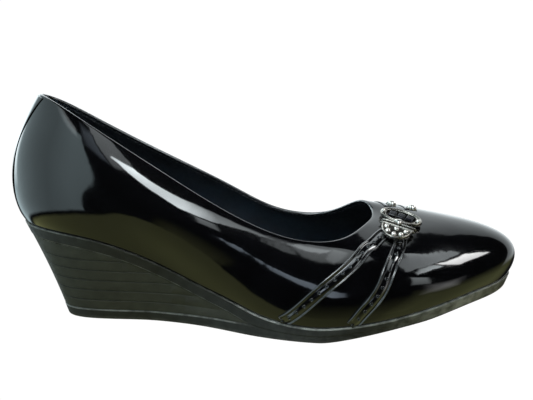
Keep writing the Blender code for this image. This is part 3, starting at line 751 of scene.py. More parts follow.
class PumpOrnament(bpy.types.PropertyGroup):
    """Sizes of the metal ornament."""

    plate_thick: size_prop("Plate thickness", "Thickness of the plate under the rim", 0.0012)
    rim_height: size_prop("Rim height", "Height of the rim over the plate", 0.0008)
    rim_width: size_prop("Rim width", "Width of the rim", 0.0010)
    oval_long: size_prop("Oval length", "Half length of the oval", 0.0101)
    oval_wide: size_prop("Oval width", "Half width of the oval", 0.0056)
    tray_long: size_prop("Tray length", "Half length of the tray", 0.0074)
    tray_wide: size_prop("Tray width", "Half width of the tray", 0.0039)
    bar_reach: size_prop("Bar reach", "Half length of the bars", 0.0085)
    bar_width: size_prop("Bar width", "Width of the bars", 0.0011)
    disc_chord: size_prop("Disc chord", "Where the half disc begins", 0.0088)
    disc_reach: size_prop("Disc reach", "Half length of the half disc", 0.0074)
    disc_depth: size_prop("Disc depth", "Depth of the half disc", 0.0088)
    stud_radius: size_prop("Stud radius", "Radius of the studs on the disc", 0.0016)
    end_stud_radius: size_prop("End stud radius", "Radius of the studs of the oval", 0.0012)
    stone_size: size_prop("Stone size", "Side of a stone", 0.0037)
    stone_height: size_prop("Stone height", "Height of a stone", 0.0010)


class PumpColours(bpy.types.PropertyGroup):
    """Colours of the shoe."""

    leather: colour_prop("Leather", "Patent leather", (0.0016, 0.0016, 0.0020))
    # A painted highlight: this pale grey stands in for the light on the crest of the topline roll.
    fold: colour_prop("Folded edge", "Rubbed crest of the topline fold", (0.15, 0.155, 0.16))
    rubber: colour_prop("Rubber", "Sole and wedge", (0.0250, 0.0245, 0.0180))
    # A pale grey for scuffs, and for the painted highlights on the sole's edges and the painted light on
    # its toe side.
    pale_wear_and_highlight: colour_prop("Worn rubber", "Rubbed edges of the sole", (0.42, 0.42, 0.38))
    lining: colour_prop("Lining", "Inside of the upper and the sock", (0.0035, 0.0085, 0.015))
    metal: colour_prop("Metal", "Plated metal", (0.34, 0.32, 0.29))
    bright_metal: colour_prop("Bright metal", "Studs of the ornament", (0.80, 0.77, 0.72))
    dark_metal: colour_prop("Dark metal", "Floors of the ornament", (0.035, 0.032, 0.026))
    stone: colour_prop("Stone", "Stones of the ornament", (0.006, 0.006, 0.009))
    thread: colour_prop("Thread", "Edge stitches", (0.16, 0.16, 0.17))


class PumpStage(bpy.types.PropertyGroup):
    """Camera and studio."""

    distance: size_prop("Camera distance", "Distance from the camera to its target", 0.422109)
    elevation: angle_prop("Elevation", "Camera over the horizon", 15.044)
    yaw: angle_prop("Yaw", "Camera round the shoe", 0.061)
    roll: angle_prop("Roll", "Camera roll", 1.922)
    focal: bpy.props.FloatProperty(
        name="Focal length", description="In pixels of the photo", default=892.65, min=1
    )
    target: bpy.props.FloatVectorProperty(
        name="Target", description="Camera target", default=(0.118021, 0, 0.053919), subtype="TRANSLATION"
    )


# The upper.

# Forms that the last doesn't give: depths and wave lengths in metres, and places as shares of the length.
PULL_DEPTH = 0.00016
PULL_WAVE = 0.0041
PULL_BEAT = 0.0127
PULLS_FROM = 0.74
DENT_DEPTH = 0.00022
DENTS_TO = 0.26


def upper_relief(s, v):
    """How far the leather stands off the last: pulls round the toe's foot and dents at the heel."""
    share = np.where(s <= TOE_KNOT, s / TOE_KNOT, (PERIMETER - s) / (PERIMETER - TOE_KNOT))
    toe = np.clip((share - PULLS_FROM) / 0.2, 0, 1)
    foot = np.exp(-((v / 0.10) ** 2))
    pulls = PULL_DEPTH * np.sin(s / PULL_WAVE) * (0.6 + 0.4 * np.sin(s / PULL_BEAT + 1.0))
    heel = np.clip((DENTS_TO - share) / 0.1, 0, 1)
    dent = DENT_DEPTH * np.sin(v * 11.0 + 0.8) * np.sin(share * 31.0)
    return toe * foot * pulls + heel * dent * np.clip(v * (1 - v) * 5, 0, 1)


def below_topline(s, distance, near):
    """The v at a distance down from the topline, from the slope of the upper near it."""
    slope = np.linalg.norm(upper_slopes(s, np.full(len(s), near))[1], axis=1)
    return 1 - distance / slope


class PUMP_OT_upper(bpy.types.Operator):
    """Build the hollow patent leather upper with its folded topline and lining"""

    bl_idname = "pump.upper"
    bl_label = "Upper"

    def execute(self, context):
        columns, outer_rows, roll_rows, inner_rows = 420, 84, 9, 40
        s = ring(columns)
        top = below_topline(s, WALL / 2, 0.999)
        rows = []
        for share in np.linspace(0, 1, outer_rows):
            v = top * share
            rows.append(upper_point(s, v) + upper_normal(s, v) * upper_relief(s, v)[:, None])
        out = upper_normal(s, top)
        up = unit(upper_slopes(s, top)[1])
        middle = upper_point(s, top) - out * WALL / 2
        for turn in np.linspace(0, math.pi, roll_rows)[1:]:
            rows.append(middle + (out * math.cos(turn) + up * math.sin(turn)) * WALL / 2)
        for share in np.linspace(1, 0, inner_rows)[1:]:
            v = top * share
            rows.append(upper_point(s, v) - upper_normal(s, v) * WALL)
        faces = band_faces(len(rows), columns, True)
        last = (len(rows) - 1) * columns
        for i in range(columns):
            n = (i + 1) % columns
            faces.append((last + i, last + n, n, i))
        materials = [finish_of(context, name) for name in ("patent", "lining", "fold")]
        face_rows = np.array([face[0] // columns for face in faces])
        face_materials = np.where(face_rows >= outer_rows + roll_rows - 3, 1, 0)
        # The two rows on the crest of the topline roll get the pale grey painted highlight.
        face_materials[np.isin(face_rows, (outer_rows + 1, outer_rows + 2))] = 2
        piece = new_piece("patent_upper", np.concatenate(rows), faces, materials, face_materials)
        dress(piece, "patent_leather", "upper")
        return {"FINISHED"}


# Bands that lie on the upper.

BAND_STEPS = 110
HOLED_STEPS = 70
THIN = 0.35
FOOT_EASE = 0.10
END_FROM = 0.6
END_EASE = 0.25
PIPE_RADIUS = 0.00058
ROLL_RADIUS = 0.00026
HOLE_LEVEL = 0.8
RIM_RADIUS = 0.00022
HOLE_FLOOR = 0.00005
STITCH_SHARE = 0.7


def overlay_line(waypoints, side):
    """Places along a line of waypoints on the upper, and the steps in s and v that lead across it."""
    knots = np.linspace(0, 1, len(waypoints))
    line = cubic_spline(knots, [(side_place(w.around, side), w.up) for w in waypoints])
    places = line(np.linspace(0, 1, BAND_STEPS))
    heading = np.gradient(places, axis=0)
    s, v = places.T
    along, up = upper_slopes(s, v)
    ahead = unit(along * heading[:, :1] + up * heading[:, 1:])
    across = unit(np.cross(upper_normal(s, v), ahead))
    steps = []
    for i in range(BAND_STEPS):
        slopes = np.column_stack([along[i], up[i]])
        steps.append(np.linalg.lstsq(slopes, across[i], rcond=None)[0])
    return s, v, np.array(steps)


def on_overlay(line, offset, lift):
    """Points and normals at an offset across a line and a lift over the upper."""
    s, v, steps = line
    at_s = s + steps[:, 0] * offset
    at_v = np.clip(v + steps[:, 1] * offset, BAND_FOOT, 1)
    normal = upper_normal(at_s, at_v)
    return upper_point(at_s, at_v) + normal * np.reshape(lift, (-1, 1)), normal


def arc(centre, radius, degrees):
    """Points on a circle of a cross-section; 0 degrees lies across and 90 up."""
    across, up = centre
    return [(across + math.cos(t) * radius, up + math.sin(t) * radius) for t in np.radians(degrees)]


def band_profile(width, thickness):
    """The cross-section of a plain band as offsets and lifts: flat below and round at its two edges."""
    edge = thickness / 2
    flat = width / 2 - edge
    profile = arc((flat, edge), edge, np.linspace(-90, 90, 9))
    profile += [(share * flat, thickness) for share in np.linspace(0.9, -0.9, 11)]
    return profile + arc((-flat, edge), edge, np.linspace(90, 270, 9))


def strap_profile(width, thickness):
    """The cross-section of a strap: a piped edge, a groove, a flat middle and a thin rolled edge."""
    half, pipe, roll = width / 2, PIPE_RADIUS, ROLL_RADIUS
    floor = thickness * 0.62
    profile = arc((half - pipe, pipe), pipe, (*range(-90, 91, 20), 110, 135, 155))
    profile += [(half - pipe * 2.3, floor * 0.78), (half - pipe * 2.9, floor * 1.02)]
    middle = np.linspace(half - pipe * 3.6, -half + roll * 3.2, 10)
    profile += [(offset, floor * (1.06 + 0.22 * (1 - (offset / middle[0]) ** 2))) for offset in middle]
    profile.append((-half + roll * 2.2, floor * 0.95))
    profile += arc((-half + roll, thickness * 0.55), roll, range(60, 271, 30))
    return profile + [(-half + roll, 0.00002)]


def eased(share):
    share = np.clip(share, 0, 1)
    return share * share * (3 - 2 * share)


def make_band(name, waypoints, side, profile, material, thin_end=1.0):
    """A band along a line of waypoints; its foot and, if asked, its end are drawn in thin."""
    line = overlay_line(waypoints, side)
    thin = THIN + (1 - THIN) * eased(line[1] / FOOT_EASE)
    past = (np.linspace(0, 1, BAND_STEPS) - END_FROM) / END_EASE
    thin = thin * (1 + (thin_end - 1) * eased(past))
    columns = [on_overlay(line, offset, SEAT + lift * thin)[0] for offset, lift in profile]
    points = np.stack(columns, axis=1)
    faces = closed_faces(*points.shape[:2])
    return new_piece(name, points.reshape(-1, 3), faces, [material])


class PUMP_OT_back_strip(bpy.types.Operator):
    """Build the strip over the back seam"""

    bl_idname = "pump.back_strip"
    bl_label = "Back Strip"

    def execute(self, context):
        leather = context.scene.pump_leather
        profile = band_profile(leather.strip_width, leather.strip_thick)
        strip = make_band("back_strip_leather", BACK_STRIP, -1, profile, finish_of(context, "patent"))
        dress(strip, "patent_leather", "back_strip")
        return {"FINISHED"}


class PUMP_OT_straps(bpy.types.Operator):
    """Build the four vamp straps with the rims of their holes and a dark disc of painted shadow in each"""

    bl_idname = "pump.straps"
    bl_label = "Straps"

    def execute(self, context):
        leather = context.scene.pump_leather
        pitch, hole = leather.hole_pitch, leather.hole_radius
        for name, waypoints, side in (
            ("rear_strap_outer", REAR_STRAP_OUTER, -1),
            ("rear_strap_inner", REAR_STRAP_INNER, 1),
            ("front_strap_outer", FRONT_STRAP_OUTER, -1),
            ("front_strap_inner", FRONT_STRAP_INNER, 1),
        ):
            inner = side > 0
            profile = strap_profile(leather.strap_width, leather.strap_thick)
            profile = [(offset * -side, lift) for offset, lift in profile]
            patent = finish_of(context, "strap_patent")
            thin_end = THIN if inner else 1.0
            strap = make_band(name + "_leather", waypoints, side, profile, patent, thin_end)
            dress(strap, "patent_leather", name)
            line = overlay_line(waypoints, side)
            if inner:
                line = tuple(part[:HOLED_STEPS] for part in line)
            path = on_overlay(line, 0, SEAT + leather.strap_thick * HOLE_LEVEL)
            row_on_path(
                name + "_rims", *path, "ring", "strap_patent", "patent_leather",
                pitch=pitch, hole_radius=hole, rim_radius=RIM_RADIUS,
            )
            # A flat dark disc in each hole: painted shadow for the inside of the hole.
            row_on_path(
                name + "_holes", *path, "plug", "hole", "patent_leather",
                pitch=pitch, plug_length=hole, plug_width=hole, plug_height=HOLE_FLOOR,
            )
        return {"FINISHED"}


class PUMP_OT_topline_stitches(bpy.types.Operator):
    """Sew the lining to the topline with a row of pale stitches"""

    bl_idname = "pump.topline_stitches"
    bl_label = "Topline Stitches"

    def execute(self, context):
        leather = context.scene.pump_leather
        s = np.append(ring(360), PERIMETER)
        v = below_topline(s, leather.edge_stitch, 0.98)
        normal = upper_normal(s, v)
        pitch, thread = leather.stitch_pitch, leather.thread_radius
        row_on_path(
            "topline_stitches", upper_point(s, v) - normal * WALL, -normal,
            "stitch", "thread", "insole_lining",
            pitch=pitch, half_length=pitch * STITCH_SHARE / 2,
            thread_width=thread, thread_height=thread,
        )
        return {"FINISHED"}


# The sole, the wedge heel and the sock.

SOLE_COLUMNS = 360
TREAD_STEPS = 60
TREAD_MARGIN = 0.0052
TREAD_BORDERS = (0.0035, 0.0040)
HEEL_TREAD = (0.012, 0.29)
BALL_TREAD = (0.47, 0.93)
BAND_DEPTH = 0.004
ROOM_FULL = 0.004
SOFT_EDGE = 0.0005
BAND_LINES = (0.0008, 0.0005)
OUTSOLE_LINE = 0.0006
OUTSOLE_FLAT = 0.4
WEDGE_CORNER = ((0, 0.0004), (0.00012, 0.00012), (0.0004, 0))
WEDGE_LEAST = 0.0002
RIB_PROFILE = ((-1, 0), (-0.5, 0.75), (-0.2, 1), (0.2, 1), (0.5, 0.75), (1, 0))
RIB_ROOM = 0.0008
RIB_FADE_FROM = 0.20
RIB_FADE_LENGTH = 0.22
RIB_FADE = 0.75
SOCK_HOLLOW = 0.0006

# Scuffs and painted light along the shoe: where a change begins, over how much of the length it comes, and
# how much it is.
# Scuffs with a little paleness all along, and painted light on the sole's toe side that rises from the
# waist and eases off at the tip.
SCUFF_AND_LIGHT = 0.03
SCUFF_AND_LIGHT_CHANGES = (
    (0.46, 0.1, 0.03), (0.70, 0.10, 0.40), (0.80, 0.07, 0.30), (0.89, 0.045, -0.35), (0.95, 0.03, -0.20),
)
# A painted highlight along the band's top edge: bright at the heel's back, dim along the waist and
# brightest towards the toe.
LIP_HIGHLIGHT = 0.50
LIP_HIGHLIGHT_CHANGES = ((0.05, 0.12, -0.40), (0.41, 0.06, 0.75))
# Painted highlights on the band's top, the rounded edges of the band and the outsole, and the wedge's top
# edge; plain scuffs on the bottom edge and the tread.
BAND_TOP_HIGHLIGHT = 0.3
BAND_EDGE_HIGHLIGHT = 0.4
OUTSOLE_EDGE_HIGHLIGHT = 0.5
BOTTOM_EDGE_WEAR = 0.12
TREAD_WEAR = 0.10
WEDGE_EDGE_HIGHLIGHT = 0.25


def wear_and_light_along(x, start, changes):
    share = x / SHOE_LENGTH
    return start + sum(change * eased((share - place) / length) for place, length, change in changes)


def sole_wall(s, inset):
    """The upper and lower edges of the side of the sole."""
    out = outward(s)
    top = feather_loop(s)
    top = np.column_stack([top[:, :2] + out * (EDGE_PROUD - inset), top[:, 2] - GAP])
    foot = base_plan(s) - out * inset
    return top, np.column_stack([foot, base_height(foot[:, 0])])


def room_line(x, edge):
    """Roof (edge 1) or floor (edge 0) of the room that the sole leaves for the wedge heel."""
    roof = feather_height(x) - GAP - BAND_HEIGHT
    floor = base_height(x) + OUTSOLE_HEIGHT
    return np.where(roof > floor, roof if edge else floor, (roof + floor) / 2)


def wall_height(top, foot, edge):
    """The height on the side of the sole where the room's roof or floor meets it."""
    low, high = np.zeros(len(top)), np.ones(len(top))
    for _ in range(30):
        share = (low + high) / 2
        point = foot + (top - foot) * share[:, None]
        under = point[:, 2] < room_line(point[:, 0], edge)
        low, high = np.where(under, share, low), np.where(under, high, share)
    return (low + high) / 2


def sole_side(inset):
    """The side of the sole: places, edges, way out, height, and its shares at roof and floor."""
    s = ring(SOLE_COLUMNS)
    top, foot = sole_wall(s, inset)
    height = top[:, 2] - foot[:, 2]
    return s, top, foot, outward(s), height, wall_height(top, foot, 1), wall_height(top, foot, 0)


def wall_rows(top, foot, out, shares_and_insets):
    """Loops of points on the side of the sole, each at a share of its height and an inset."""
    rows = []
    for share, inset in shares_and_insets:
        point = foot + (top - foot) * share[:, None]
        point[:, :2] -= out * np.reshape(inset, (-1, 1))
        rows.append(point)
    return rows


def rounded_pairs(share, height, radius, upward, steps=5):
    """Shares and insets that round an edge of the side wall at a share of its height."""
    pairs = []
    for turn in np.linspace(0, math.pi / 2, steps):
        rise = radius * (1 - math.sin(turn)) * (1 if upward else -1)
        pairs.append((share - rise / height, radius * (1 - math.cos(turn))))
    return pairs


class PUMP_OT_sole(bpy.types.Operator):
    """Build the moulded sole as its band under the upper and its outsole with tread"""

    bl_idname = "pump.sole"
    bl_label = "Sole"

    def execute(self, context):
        sole = context.scene.pump_sole
        rubber = finish_of(context, "rubber")
        s, top, foot, out, height, roof, floor = sole_side(0)
        room = np.clip((roof - floor) * height / ROOM_FULL, 0, 1)
        radius = np.full(SOLE_COLUMNS, sole.edge_round)
        soft = np.minimum(radius * 0.7, SOFT_EDGE) * room
        one, zero = np.ones(SOLE_COLUMNS), np.zeros(SOLE_COLUMNS)
        # Scuffs all along, paler towards the toe with the painted light on the sole's toe side.
        scuff_and_light = wear_and_light_along(foot[:, 0], SCUFF_AND_LIGHT, SCUFF_AND_LIGHT_CHANGES)
        # Painted highlight along the band's top edge under the feather line.
        lip_highlight = wear_and_light_along(top[:, 0], LIP_HIGHLIGHT, LIP_HIGHLIGHT_CHANGES)

        edge = rounded_pairs(one, height, radius * 0.6, True)
        lower = rounded_pairs(roof, height, soft, False)
        under_edge = one - BAND_LINES[0] / height
        over_line = np.minimum(roof + BAND_LINES[1] / height, under_edge)
        flat = [(share, 0) for share in (under_edge, (under_edge + over_line) / 2, over_line)]
        rows = wall_rows(top, foot, out, [(one, BAND_DEPTH)] + edge[::-1] + flat + lower)
        # The band: a painted highlight on its rounded top edge and its lower edge, scuffs and painted
        # light on its flat side.
        wear_and_highlight = [BAND_TOP_HIGHLIGHT] + [lip_highlight] * len(edge) + [scuff_and_light] * len(flat)
        wear_and_highlight += [BAND_EDGE_HIGHLIGHT * room + scuff_and_light] * len(lower)
        dress(stack("sole_band", rows, rubber, wear_and_highlight), "sole_rubber", "sole")

        upper_edge = rounded_pairs(floor, height, soft, True)
        bottom = rounded_pairs(zero, height, radius, False)
        middle = floor * OUTSOLE_FLAT
        flat = [(floor - np.minimum(OUTSOLE_LINE / height, middle), 0), (middle, 0)]
        rows = wall_rows(top, foot, out, upper_edge[::-1] + flat + bottom)
        # The outsole: a painted highlight on its top edge, scuffs and painted light on its side, plain
        # scuffs on its bottom edge and tread.
        wear_and_highlight = [OUTSOLE_EDGE_HIGHLIGHT * room + scuff_and_light] * len(upper_edge) + [scuff_and_light] * len(flat)
        wear_and_highlight += [BOTTOM_EDGE_WEAR] * len(bottom)
        for inset, lift in zip(TREAD_BORDERS, (0, sole.tread_depth)):
            plan = foot[:, :2] - out * inset
            rows.append(np.column_stack([plan, base_height(plan[:, 0]) + lift]))
            wear_and_highlight.append(TREAD_WEAR)
        outsole = stack("outsole", rows, rubber, wear_and_highlight)
        sharpen(outsole, 50)
        dress(outsole, "sole_rubber", "sole")

        border = foot[:, :2] - out * TREAD_MARGIN
        outer, inner = border[s < TOE_KNOT], border[s > TOE_KNOT]
        back = float(border[:, 0].min()) / SHOE_LENGTH
        heel = (back + HEEL_TREAD[0], HEEL_TREAD[1])
        for name, ends in (("tread_heel", heel), ("tread_ball", BALL_TREAD)):
            x = np.linspace(*ends, TREAD_STEPS) * SHOE_LENGTH
            near, far = (np.interp(x, *side[np.argsort(side[:, 0])].T) for side in (outer, inner))
            path = np.column_stack([x, (near + far) / 2, base_height(x) + sole.tread_depth * 0.6])
            bars = row_on_path(
                name, path, np.tile((0, 0, -1), (TREAD_STEPS, 1)), "bar", "rubber", "sole_rubber",
                spans=np.abs(far - near), pitch=sole.tread_pitch,
                bar_width=sole.tread_bar, bar_height=sole.tread_depth * 0.9,
            )
            sharpen(bars, 40)
        return {"FINISHED"}


class PUMP_OT_wedge(bpy.types.Operator):
    """Build the wedge heel with its level grooves"""

    bl_idname = "pump.wedge"
    bl_label = "Wedge Heel"

    def execute(self, context):
        sole = context.scene.pump_sole
        _, top, foot, out, height, roof, floor = sole_side(PANEL_INSET * 0.6)
        high = foot[:, 2] + roof * height - GAP * 0.4
        low = foot[:, 2] + floor * height + GAP * 0.4
        toe = SOLE_COLUMNS // 2
        open_columns = np.nonzero(high - low > WEDGE_LEAST)[0]
        outer_tip = open_columns[open_columns < toe].max()
        inner_tip = open_columns[open_columns >= toe].min()
        source = np.arange(SOLE_COLUMNS)
        source[outer_tip : toe + 1] = outer_tip
        source[toe + 1 : inner_tip] = inner_tip
        top, foot, out, low, high = (part[source] for part in (top, foot, out, low, high))
        ahead = (foot[:, 0] / SHOE_LENGTH - RIB_FADE_FROM) / RIB_FADE_LENGTH
        fade = 1 - RIB_FADE * np.clip(ahead, 0, 1)
        levels = [(low + rise, inset) for rise, inset in WEDGE_CORNER]
        for i in range(sole.rib_count):
            middle = sole.rib_first + i * sole.rib_pitch
            for share, depth in RIB_PROFILE:
                level = np.full(SOLE_COLUMNS, middle + share * sole.rib_half)
                levels.append((level, depth * sole.rib_depth * fade))
        levels += [(high - drop, inset) for drop, inset in WEDGE_CORNER[::-1]]
        rows = []
        for i, (level, depth) in enumerate(levels):
            at = np.clip(level, low, high)
            room = np.minimum(np.minimum(at - low, high - at) / RIB_ROOM, 1)
            inset = depth if i in (0, len(levels) - 1) else depth * room
            share = ((at - foot[:, 2]) / (top[:, 2] - foot[:, 2]))[:, None]
            plan = foot[:, :2] + (top - foot)[:, :2] * share - out * np.reshape(inset, (-1, 1))
            rows.append(np.column_stack([plan, at]))
        # A painted highlight along the wedge's top edge.
        wear_and_highlight = [0] * (len(rows) - 2) + [WEDGE_EDGE_HIGHLIGHT] * 2
        wedge = stack("wedge_block", rows, finish_of(context, "wedge_rubber"), wear_and_highlight)
        sharpen(wedge, 35)
        dress(wedge, "sole_rubber", "wedge_heel")
        return {"FINISHED"}


class PUMP_OT_sock(bpy.types.Operator):
    """Build the footbed with a rounded edge and a shallow hollow"""

    bl_idname = "pump.sock"
    bl_label = "Sock"

    def execute(self, context):
        sole = context.scene.pump_sole
        columns = 300
        s = ring(columns)
        low = feather_loop(s)
        out = np.column_stack([outward(s), np.zeros(columns)])
        half = sole.sock_thick / 2
        rows = [low - out * (sole.sock_inset + 0.001)]
        for turn in np.radians(np.linspace(-90, 90, 9)):
            inset = sole.sock_inset + half * (1 - math.cos(turn))
            rows.append(low - out * inset + np.array([0, 0, half * (1 + math.sin(turn))]))
        edge = rows[-1]
        centre_line = (edge + edge[-np.arange(columns) % columns]) / 2
        for share in np.linspace(0.06, 0.97, 16):
            loop = edge + (centre_line - edge) * share
            loop[:, 2] -= SOCK_HOLLOW * math.sin(share * math.pi / 2) ** 0.7
            rows.append(loop)
        dress(stack("sock_leather", rows, finish_of(context, "sock")), "insole_lining", "insole")
        return {"FINISHED"}


# The ornament.

PLATE_CUT = 0.0003
PLATE_EDGE = 0.0004
OVAL_FLOOR = 0.00032
OVAL_FLOOR_INSETS = (0.0008, 0.0012)
TRAY_FULLNESS = 0.72
TRAY_MARGIN = 0.0005
TRAY_RIM = 0.0007
TRAY_FLOOR = 0.00012
TRAY_FLOOR_INSETS = (0.0001, 0.0005)
FLOOR_EDGE = 0.00003
DISC_SLANT = 1.5
BAR_STEPS = 25
BAR_SIDES = 16
FOOT_OVER_PLATE = 0.00015
STONE_STEPS = ((1, 0), (1, 0.45), (0.94, 0.55), (0.80, 0.84), (0.60, 1))
STONE_CORNER = 0.82
STONE_STRETCH = (0.97, 1.02)
COLLAR_SHARES = (0.92, 0.08)
DOME_SHARES = (0.82, 0.82, 0.8)
HEART_LIFT = 0.0002
HEART_RADII = (0.0022, 0.0020, 0.0014)
HEART_FLUTES = (3, 0.30, 48)
BEAD_RADII = (0.0026, 0.0017, 0.0022)
BEAD_FLUTES = (10, 0.16, 80, 18)


def vamp_frame(at, side, lift):
    """A place over the vamp and its three directions: along, down and up."""
    s = side_place(at.around, side)
    up = upper_normal(s, at.up)
    along = np.array([math.cos(ORNAMENT_TURN), -math.sin(ORNAMENT_TURN), 0])
    along = unit(along - up * (along @ up))
    return upper_point(s, at.up) + up * lift, along, np.cross(along, up), up


def bend_over(points, place):
    """Bends flat points over the vamp."""
    middle, along, down, up = place
    angle = points[:, 1:2] / ORNAMENT_BEND
    radius = ORNAMENT_BEND + points[:, 2:3]
    height = radius * np.cos(angle) - ORNAMENT_BEND
    return middle + along * points[:, :1] + down * radius * np.sin(angle) + up * height


def ornament_piece(name, rows, place, material, node, slot="gunmetal", smooth=True):
    """A closed piece of the ornament from flat loops of points."""
    points = bend_over(np.concatenate(rows), place)
    faces = closed_faces(len(rows), len(rows[0]))
    dress(new_piece(name, points, faces, [material], smooth=smooth), slot, node)


def turns(count):
    return np.linspace(0, 2 * math.pi, count, endpoint=False)


def level_loop(along, down, height):
    return np.column_stack([along, down, np.full(len(along), height)])


def oval(half, grow, height, fullness=1.0, count=96):
    """A level oval, grown all round; a fullness under 1 draws it out towards a rectangle."""
    along, across = np.cos(turns(count)), np.sin(turns(count))
    along = np.sign(along) * np.abs(along) ** fullness
    across = np.sign(across) * np.abs(across) ** fullness
    return level_loop((half[0] + grow) * along, (half[1] + grow) * across, height)


def half_disc(reach, depth, chord, height, count=96):
    """A level half disc: its arc and then its straight chord."""
    turn = np.linspace(0, math.pi, count - count // 3)
    straight = np.linspace(-1, 1, count // 3 + 2)[1:-1]
    along = DISC_AHEAD + reach * np.concatenate([np.cos(turn), straight])
    down = chord + depth * np.concatenate([np.sin(turn), np.zeros(len(straight))])
    return level_loop(along, down, height)


def rim_steps(width, height, steps=9):
    """Insets and heights over the floor of a rim with a round crest."""
    return [
        (width / 2 * (1 - math.cos(turn)), height * (0.35 + 0.65 * math.sin(turn)))
        for turn in np.linspace(0, math.pi, steps)
    ]


class PUMP_OT_ornament_plate(bpy.types.Operator):
    """Build the metal plate of the ornament: rimmed oval tray, bars and rimmed half disc"""

    bl_idname = "pump.ornament_plate"
    bl_label = "Ornament Plate"

    def execute(self, context):
        size = context.scene.pump_ornament
        place = vamp_frame(ORNAMENT_AT, -1, ORNAMENT_LIFT)
        plate, rim = size.plate_thick, size.rim_height
        whole, tray = (size.oval_long, size.oval_wide), (size.tray_long, size.tray_wide)
        full = TRAY_FULLNESS

        def add(name, finish, rows):
            ornament_piece("ornament_" + name, rows, place, finish_of(context, finish), "ornament_casting")

        def disc(inset, height):
            reach, depth = size.disc_reach - inset, size.disc_depth - inset * DISC_SLANT
            return half_disc(reach, depth, size.disc_chord + inset * (DISC_SLANT - 1), height)

        plate_rim = [(inset, plate + height) for inset, height in rim_steps(size.rim_width, rim)]
        rows = [oval(whole, -PLATE_CUT, 0), oval(whole, 0, PLATE_EDGE)]
        add("oval", "metal", rows + [oval(whole, -inset, height) for inset, height in plate_rim])
        tray_rim = rim_steps(TRAY_RIM, rim * 0.8)
        rows = [oval(tray, TRAY_MARGIN - inset, plate + height, full) for inset, height in tray_rim]
        add("tray_frame", "metal", rows + [oval(tray, -0.0003, plate + 0.0001, full)])
        floor = plate + OVAL_FLOOR
        edge, inner = OVAL_FLOOR_INSETS
        rows = [oval(whole, -edge, floor - FLOOR_EDGE), oval(whole, -inner, floor)]
        rows += [oval(tray, 0.0003, floor, full), oval(tray, 0.0002, plate, full)]
        add("oval_floor", "dark_metal", rows)
        floor = plate + TRAY_FLOOR
        edge, inner = TRAY_FLOOR_INSETS
        rows = [oval(tray, -edge, floor - FLOOR_EDGE, full), oval(tray, -inner, floor, full)]
        add("tray_floor", "dark_metal", rows)
        reach, depth = size.disc_reach - PLATE_CUT, size.disc_depth - PLATE_CUT
        foot = half_disc(reach, depth, size.disc_chord, 0)
        add("disc", "metal", [foot, disc(0, PLATE_EDGE)] + [disc(*step) for step in plate_rim])
        inset = size.rim_width * 0.9
        rows = [disc(inset, plate + rim * 0.3), disc(inset * 1.4, plate + rim * 0.42)]
        add("disc_floor", "dark_metal", rows)
        turn = turns(BAR_SIDES)
        for i, middle in enumerate(BAR_PLACES):
            rows = []
            for share in np.linspace(-1, 1, BAR_STEPS):
                waist = math.sqrt(max(1 - abs(share) ** 8, 0.02))
                along = np.full(BAR_SIDES, BAR_AHEAD + size.bar_reach * share)
                down = middle + size.bar_width / 2 * waist * np.cos(turn)
                up = plate * 0.75 + (rim + plate * 0.25 + 0.0002) * waist * np.sin(turn)
                rows.append(np.column_stack([along, down, np.maximum(up, 0.0001)]))
            add(f"bar_{i + 1}", "metal", rows)
        return {"FINISHED"}


def dome_rows(along, down, foot, radii, flutes=0, flute_depth=0.0, segments=32, rings=14):
    """Rows of a dome from its foot to its top."""
    turn = turns(segments)
    groove = 1 - flute_depth * (1 + np.cos(flutes * turn)) / 2
    rows = []
    for rise in np.linspace(0, math.pi / 2 * 0.985, rings):
        a = along + radii[0] * groove * np.cos(turn) * math.cos(rise)
        b = down + radii[1] * groove * np.sin(turn) * math.cos(rise)
        rows.append(level_loop(a, b, foot + radii[2] * math.sin(rise)))
    return rows


def collar_rows(along, down, foot, radius, thick, segments=32):
    """A rolled collar round the foot of a dome."""
    turn = turns(segments)
    rows = []
    for swing in np.linspace(math.pi, 0, 9):
        reach = radius + thick * math.cos(swing)
        a, b = along + reach * np.cos(turn), down + reach * np.sin(turn)
        rows.append(level_loop(a, b, foot + thick * math.sin(swing)))
    return rows


def stone_rows(along, size):
    """Rows of a stone with cut corners and a stepped top."""
    long, wide = STONE_STRETCH
    rows = []
    for share, height in STONE_STEPS:
        reach = size.stone_size / 2 * share
        cut = reach * STONE_CORNER
        a = np.array((reach, reach, cut, -cut, -reach, -reach, -cut, cut))
        b = np.array((-cut, cut, reach, reach, cut, -cut, -reach, -reach))
        level = size.plate_thick + FOOT_OVER_PLATE + size.stone_height * height
        rows.append(level_loop(along + a * long, b * wide, level))
    return rows


def stud_rows(along, down, foot, radius):
    """Rows of a stud: a rolled collar and a dome."""
    rows = collar_rows(along, down, foot, *(radius * share for share in COLLAR_SHARES))
    return rows + dome_rows(along, down, foot + radius * 0.02, [radius * share for share in DOME_SHARES])


